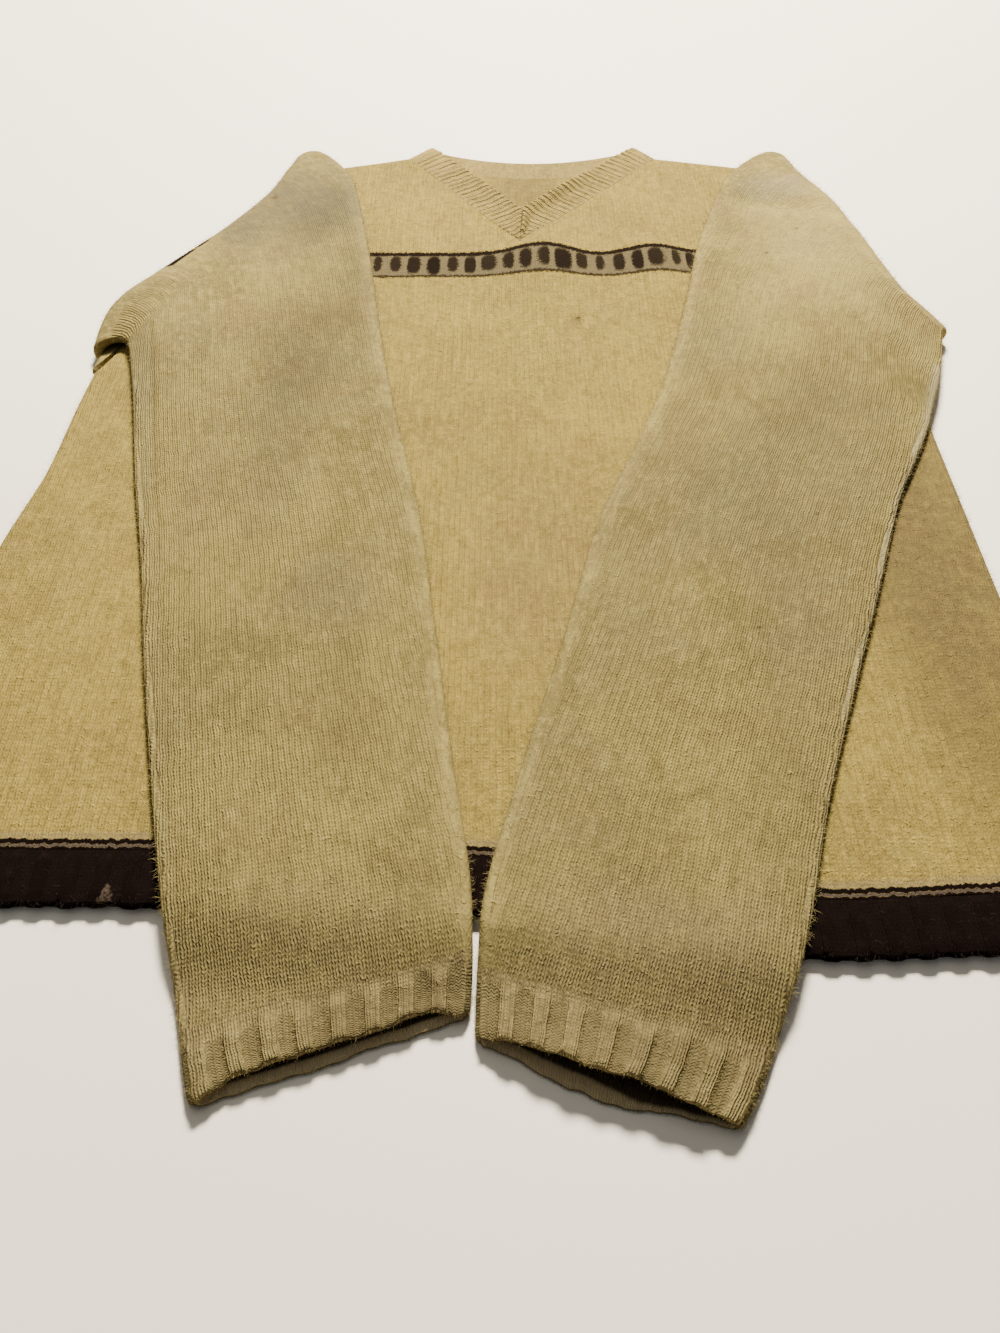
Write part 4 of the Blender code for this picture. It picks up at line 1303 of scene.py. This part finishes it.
def panel_bands(maths, colour, place, felt):
    """The chest stripe, and the dark and pale lines just above the hem's ribbing."""
    above, share = maths.marks()
    x = maths.parts(place)[0]
    colour = stripe_colour(maths, colour, x, share, felt)
    teeth, drift = maths.drift(x * 380.0), maths.drift(x * 60.0)
    height = above + (felt - 0.5) * 0.0016 + (teeth - 0.5) * 0.0020 + (drift - 0.5) * 0.0012
    colour = maths.blend(height.band(0.0034, 0.0044, 0.0060, 0.0090) * 0.45, colour, ABOVE_HEM)
    colour = maths.blend(height.band(0.0008, 0.0011, 0.0019, 0.0024), colour, HEM_LINE)
    colour = maths.blend(height.band(0.0020, 0.0024, 0.0041, 0.0046), colour, HEM_DARK)
    return maths.blend(height.between(0.0011, 0.0007), colour, HEM_DARK)


def fold_bands(maths, colour, place, felt):
    """The stripe's dark end shows on the left sleeve's fold, and a seam runs down near its outer edge as a
    painted shadow line.
    """
    share = maths.marks()[0] - 2.0 + (felt - 0.5) * 0.010
    # The seam is a painted shadow line
    seam = share.band(0.878, 0.892, 0.898, 0.912)
    x, y, z = maths.parts(place)
    fade = y.between(-0.12, 0.05) * 0.6 + 0.4
    colour = maths.blend(share.between(0.890, 0.910) * 0.16 * fade, colour, GREYISH)
    colour = maths.blend(seam * 0.34 * fade, colour, SEAM_SHADOW)
    beyond = x - STRIPE_END.x - (y - STRIPE_END.y) * STRIPE_END_SLOPE + (felt - 0.5) * 0.0012
    ends = y.band(0.1545, 0.1565, 0.1875, 0.1895)
    gap = abs(y - STRIPE_END_GAP).between(0.0008, 0.0020) * 0.75 + 0.25
    dark = beyond.between(0.0020, 0.0008) * ends * gap * z.between(0.0110, 0.0125)
    return maths.blend(dark, colour, STRIPE_DARK)


def edge_bands(maths, colour, place, felt):
    """The right sleeve's outer edge catches the light."""
    share = maths.marks()[0] - 2.0 + (felt - 0.5) * 0.030
    return maths.blend(share.band(0.945, 0.985, 1.5, 1.9) * 0.35, colour, LIT_EDGE)


# A small pulled thread in the front hem: its foot, how high and half how wide it is, and its knot
SNAG_FOOT = Vector((-0.1480, -0.2640))
SNAG_HEIGHT = 0.0115
SNAG_HALF = 0.0060
SNAG_KNOT = (-0.1478, -0.2530, 0.0075)


def dark_material(name):
    """The hem's dark ribbing: nearly black brown, with a pale snag and fluff caught in it."""
    maths = Maths(name)
    place = maths.object_place()
    height, gaps, _ = knit_pattern(maths, maths.flat_place(), place, RIB_KNIT)
    rib = maths.marks()[0]
    felt = maths.noise(place, 700.0, 4.0, 0.7)
    fluff = maths.noise(place, 160.0, 3.0, 0.7)
    colour = maths.blend(fluff.between(0.45, 0.8), HEM_DARK, (0.0080, 0.0036, 0.0024))
    colour = maths.blend(felt.between(0.62, 0.85) * 0.3, colour, (0.018, 0.011, 0.008))
    # Painted shade in the gaps between stitches
    colour = maths.blend(gaps * 0.5, colour, (0.004, 0.002, 0.002))
    # Painted shade in the furrows of the hem's ribbing
    colour = maths.blend(rib.between(0.7, 0.1) * 0.5, colour, (0.005, 0.0025, 0.002))
    x, y, _ = maths.parts(place)
    rise = (y - SNAG_FOOT.y) / SNAG_HEIGHT
    width = abs(x - SNAG_FOOT.x + (fluff - 0.5) * 0.007) - (1.0 - rise) * SNAG_HALF
    snag = width.between(0.0004, -0.0006) * rise.band(0.0, 0.08, 1.0, 1.1)
    colour = maths.blend(snag * (0.15 + 0.8 * felt.between(0.42, 0.62)), colour, (0.070, 0.050, 0.032))
    away = maths.vector("DISTANCE", place, SNAG_KNOT, output=1)
    colour = maths.blend(away.between(0.0018, 0.0008) * 0.7, colour, (0.160, 0.125, 0.080))
    return maths.finish(colour, maths.bump(height * 0.7 + felt * 0.5, 0.0006, 0.9), 0.95, 0.04)


def fuzz_material(name, colour):
    maths = Maths(name)
    maths.shader.inputs["Base Color"].default_value = (*colour, 1.0)
    maths.shader.inputs["Roughness"].default_value = 0.8
    maths.shader.inputs["Specular IOR Level"].default_value = 0.2
    return maths.material


# Fuzz

FIBRE_HALF_WIDTH = 0.000045
FIBRE_ROOT_DEPTH = 0.0002
FLAT_CLOTH = 0.85  # a normal's height above which cloth lies flat and shows few fibres
UNDERSIDE = -0.35  # and below which it is hidden and has none

# The front has no pale fibres on the chest stripe and next to the dark hem
BARE_STRIPE = (0.166, 0.206)
BARE_HALF_WIDTH = 0.170
BARE_BELOW = -0.225


def norms(vectors):
    return np.linalg.norm(vectors, axis=1)[:, None]


def bare_front(middles):
    """0 where the front stays free of pale fibres, and 1 elsewhere."""
    x, y = middles[:, 0], middles[:, 1]
    stripe = (y > BARE_STRIPE[0]) & (y < BARE_STRIPE[1]) & (abs(x) < BARE_HALF_WIDTH)
    return np.where(stripe | (y < BARE_BELOW), 0.0, 1.0)


def fuzz(name, source, material, count, length, seed, keep=None):
    """Fine fibres on a piece, most where its surface turns away, each a bent tapering ribbon."""
    rng = np.random.default_rng(seed)
    mesh = source.data
    mesh.calc_loop_triangles()
    triangles = np.empty(len(mesh.loop_triangles) * 3, dtype=np.int32)
    mesh.loop_triangles.foreach_get("vertices", triangles)
    places = np.empty(len(mesh.vertices) * 3, dtype=np.float64)
    mesh.vertices.foreach_get("co", places)
    corners = places.reshape(-1, 3)[triangles.reshape(-1, 3)]
    sides = np.cross(corners[:, 1] - corners[:, 0], corners[:, 2] - corners[:, 0])
    areas = np.linalg.norm(sides, axis=1)
    normals = sides / np.maximum(areas, 1e-12)[:, None]
    weights = areas * np.where(normals[:, 2] > FLAT_CLOTH, 0.5, 6.0) * (normals[:, 2] > UNDERSIDE)
    middles = corners.mean(axis=1)
    if keep is not None:
        weights = weights * keep(middles)
    chosen = rng.choice(len(weights), size=count, p=weights / weights.sum())
    a, b = rng.random(count), rng.random(count)
    turned = a + b > 1.0
    a[turned], b[turned] = 1.0 - a[turned], 1.0 - b[turned]
    spans = corners[chosen]
    roots = spans[:, 0] + a[:, None] * (spans[:, 1] - spans[:, 0]) + b[:, None] * (spans[:, 2] - spans[:, 0])
    out = normals[chosen]
    loose = rng.normal(size=(count, 3))
    heading = out * rng.uniform(0.25, 1.0, count)[:, None] + loose * 0.45
    heading /= norms(heading)
    bend = rng.normal(size=(count, 3)) * 0.55
    reach = length * rng.uniform(0.3, 1.0, count) ** 1.6
    middle = roots + heading * (reach * 0.55)[:, None]
    later = heading + bend
    later /= norms(later)
    tip = middle + later * (reach * 0.45)[:, None]
    across = np.cross(heading, rng.normal(size=(count, 3)))
    across /= norms(across)
    half = across * FIBRE_HALF_WIDTH
    roots = roots - out * FIBRE_ROOT_DEPTH
    vertices = np.stack([roots - half, roots + half, middle - half * 0.8, middle + half * 0.8, tip], axis=1)
    vertices[:, :, 2] = np.maximum(vertices[:, :, 2], 0.0001)
    start = np.arange(count)[:, None] * 5
    faces = np.concatenate([start + [0, 1, 3], start + [0, 3, 2], start + [2, 3, 4]], axis=1).reshape(-1)
    data = bpy.data.meshes.new(name)
    data.vertices.add(count * 5)
    data.vertices.foreach_set("co", vertices.reshape(-1))
    data.loops.add(len(faces))
    data.loops.foreach_set("vertex_index", faces.astype(np.int32))
    data.polygons.add(len(faces) // 3)
    data.polygons.foreach_set("loop_start", np.arange(0, len(faces), 3, dtype=np.int32))
    data.update(calc_edges=True)
    data.validate()
    made = add_object(name, data, material)
    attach(made, "root")
    return made


# Stage


def aim(thing, target):
    thing.rotation_euler = (Vector(target) - thing.location).to_track_quat("-Z", "Y").to_euler()


def area_light(name, place, target, size, power, colour):
    lamp = bpy.data.lights.new(name, "AREA")
    lamp.shape = "RECTANGLE"
    lamp.size, lamp.size_y = size
    lamp.energy = power
    lamp.color = colour
    thing = add_object(name, lamp)
    thing.location = place
    aim(thing, target)


def make_floor():
    maths = Maths("pale_table")
    place = maths.object_place()
    cloud = maths.noise(place, 3.0, 3.0)
    grain = maths.noise(place, 500.0, 3.0)
    colour = maths.blend(cloud.between(0.3, 0.7), (0.770, 0.690, 0.550), (0.795, 0.720, 0.590))
    material = maths.finish(colour, maths.bump(grain, 0.0002, 0.15), 0.42, 0.35)
    mesh = bpy.data.meshes.new("table_top")
    far = 6.0
    corners = [(-far, -far, 0.0), (far, -far, 0.0), (far, far, 0.0), (-far, far, 0.0)]
    mesh.from_pydata(corners, [], [(0, 1, 2, 3)])
    floor = add_object("table_top", mesh, material)
    floor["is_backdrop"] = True


def make_camera():
    lens = bpy.data.cameras.new("camera")
    lens.sensor_width = 36.0
    lens.lens = CAMERA_LENS
    lens.clip_start = 0.01
    camera = add_object("camera", lens)
    camera.location = CAMERA_PLACE
    camera.rotation_euler = (math.radians(CAMERA_TILT), 0.0, 0.0)
    bpy.context.scene.camera = camera


def make_lights():
    world = bpy.data.worlds.new("soft_room")
    world.use_nodes = True
    sky = world.node_tree.nodes["Background"]
    sky.inputs["Color"].default_value = (0.80, 0.89, 1.0, 1.0)
    sky.inputs["Strength"].default_value = 0.15
    bpy.context.scene.world = world
    area_light("window", (0.10, 1.22, 1.36), (0.0, 0.0, 0.0), (0.36, 0.28), 188.0, (1.0, 0.945, 0.85))
    area_light("ceiling", (-0.3, 0.3, 1.6), (0.0, 0.0, 0.0), (1.2, 1.2), 6.0, (1.0, 0.96, 0.90))


# Settings and operators


class SweaterSettings(bpy.types.PropertyGroup):
    fuzz_count: bpy.props.IntProperty(
        name="Fibres", description="Loose fibres on the larger pieces", default=26000, min=0, max=60000
    )
    fuzz_length: bpy.props.FloatProperty(
        name="Fibre length", description="Longest loose fibre", default=0.0042, min=0.0005, max=0.01,
        unit="LENGTH", subtype="DISTANCE",
    )
    seed: bpy.props.IntProperty(
        name="Seed", description="Which arrangement of loose fibres", default=7, min=0
    )


class SWEATER_OT_panels(bpy.types.Operator):
    """Build the front and back panels, with the stripe and the lines above the hem"""

    bl_idname = "sweater.panels"
    bl_label = "Build panels"

    def execute(self, context):
        material = wool_material("panel_wool", PANEL_WOOL, BODY_KNIT, FRONT_STAINS_AND_PAINTED_SHADE, panel_bands, tidy=1.0)
        for name, half in (("front", front_half), ("back", back_half)):
            surface = Surface()
            half(surface, "left")
            half(surface, "right")
            piece = surface.piece(name + "_wool", material)
            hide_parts(name)
        return {"FINISHED"}


class SWEATER_OT_hems(bpy.types.Operator):
    """Build the dark ribbed hem bands"""

    bl_idname = "sweater.hems"
    bl_label = "Build hems"

    def execute(self, context):
        material = dark_material("hem_rib")
        for name, front in (("hem_front", True), ("hem_back", False)):
            surface = Surface()
            surface.grid(hem_grid(front))
            piece = surface.piece(name + "_wool", material)
            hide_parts(name)
        return {"FINISHED"}


class SWEATER_OT_sleeves(bpy.types.Operator):
    """Build both sleeves, turned over at the armholes"""

    bl_idname = "sweater.sleeves"
    bl_label = "Build sleeves"

    def execute(self, context):
        for side, marks in SLEEVE_STAINS_AND_PAINTED_LIGHT.items():
            bands = fold_bands if side == "left" else edge_bands
            material = wool_material("sleeve_wool_" + side, SLEEVE_WOOL, SLEEVE_KNIT, marks, bands)
            piece = make_sleeve(side, material)
            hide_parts("sleeve_" + side)
        return {"FINISHED"}


class SWEATER_OT_cuffs(bpy.types.Operator):
    """Build the ribbed cuffs and the neck band"""

    bl_idname = "sweater.bands"
    bl_label = "Build cuffs and neck"

    def execute(self, context):
        material = wool_material("cuff_rib", CUFF_WOOL, RIB_KNIT, CUFF_STAINS, None, 0.64)
        for side in ("left", "right"):
            piece = make_cuff(side, material)
            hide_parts("cuff_" + side)
        neck = wool_material("neck_rib", NECK_WOOL, NECK_KNIT, (), None, 0.30, 1.0)
        piece = make_neck_band(neck)
        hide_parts("neck_band")
        return {"FINISHED"}


class SWEATER_OT_fuzz(bpy.types.Operator):
    """Add loose fibres to the wool pieces, all but the back panel and the back hem band"""

    bl_idname = "sweater.fuzz"
    bl_label = "Add fuzz"

    def execute(self, context):
        settings = context.scene.sweater
        pale = fuzz_material("pale_fibre", (0.26, 0.205, 0.075))
        dark = fuzz_material("dark_fibre", (0.025, 0.015, 0.011))
        shares = (
            ("front_wool", 0.9, pale), ("sleeve_left_wool", 1.0, pale), ("sleeve_right_wool", 1.0, pale),
            ("cuff_left_wool", 0.22, pale), ("cuff_right_wool", 0.22, pale), ("neck_band_wool", 0.20, pale),
            ("hem_front_wool", 0.25, dark),
        )
        for index, (name, share, material) in enumerate(shares):
            source = bpy.data.objects[name]
            count = int(settings.fuzz_count * share)
            keep = bare_front if name == "front_wool" else None
            length = settings.fuzz_length * (0.5 if name.startswith("cuff") else 1.0)
            piece = fuzz(name + "_fuzz", source, material, count, length, settings.seed + index, keep)
        return {"FINISHED"}


class SWEATER_OT_stage(bpy.types.Operator):
    """Add the table, the lights and the camera"""

    bl_idname = "sweater.stage"
    bl_label = "Build stage"

    def execute(self, context):
        make_floor()
        make_lights()
        make_camera()
        return {"FINISHED"}


OPERATORS = (
    SWEATER_OT_panels,
    SWEATER_OT_hems,
    SWEATER_OT_sleeves,
    SWEATER_OT_cuffs,
    SWEATER_OT_fuzz,
    SWEATER_OT_stage,
)


class SWEATER_PT_panel(bpy.types.Panel):
    bl_label = "Folded wool sweater"
    bl_idname = "SWEATER_PT_panel"
    bl_space_type = "VIEW_3D"
    bl_region_type = "UI"
    bl_category = "Sweater"

    def draw(self, context):
        column = self.layout.column()
        for name in SweaterSettings.__annotations__:
            column.prop(context.scene.sweater, name)
        for operator in OPERATORS:
            column.operator(operator.bl_idname)


def register():
    for item in (SweaterSettings, *OPERATORS, SWEATER_PT_panel):
        bpy.utils.register_class(item)
    bpy.types.Scene.sweater = bpy.props.PointerProperty(type=SweaterSettings)


def unregister():
    del bpy.types.Scene.sweater
    for item in (SWEATER_PT_panel, *reversed(OPERATORS), SweaterSettings):
        bpy.utils.unregister_class(item)


def main():
    register()
    bpy.ops.sweater.panels()
    bpy.ops.sweater.hems()
    bpy.ops.sweater.sleeves()
    bpy.ops.sweater.bands()
    bpy.ops.sweater.fuzz()
    bpy.ops.sweater.stage()
    boxes = {"cad": CAD_BOX, "visual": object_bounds()}
    plain = {name: [[float(value) for value in corner] for corner in box] for name, box in boxes.items()}


if __name__ == "__main__":
    main()
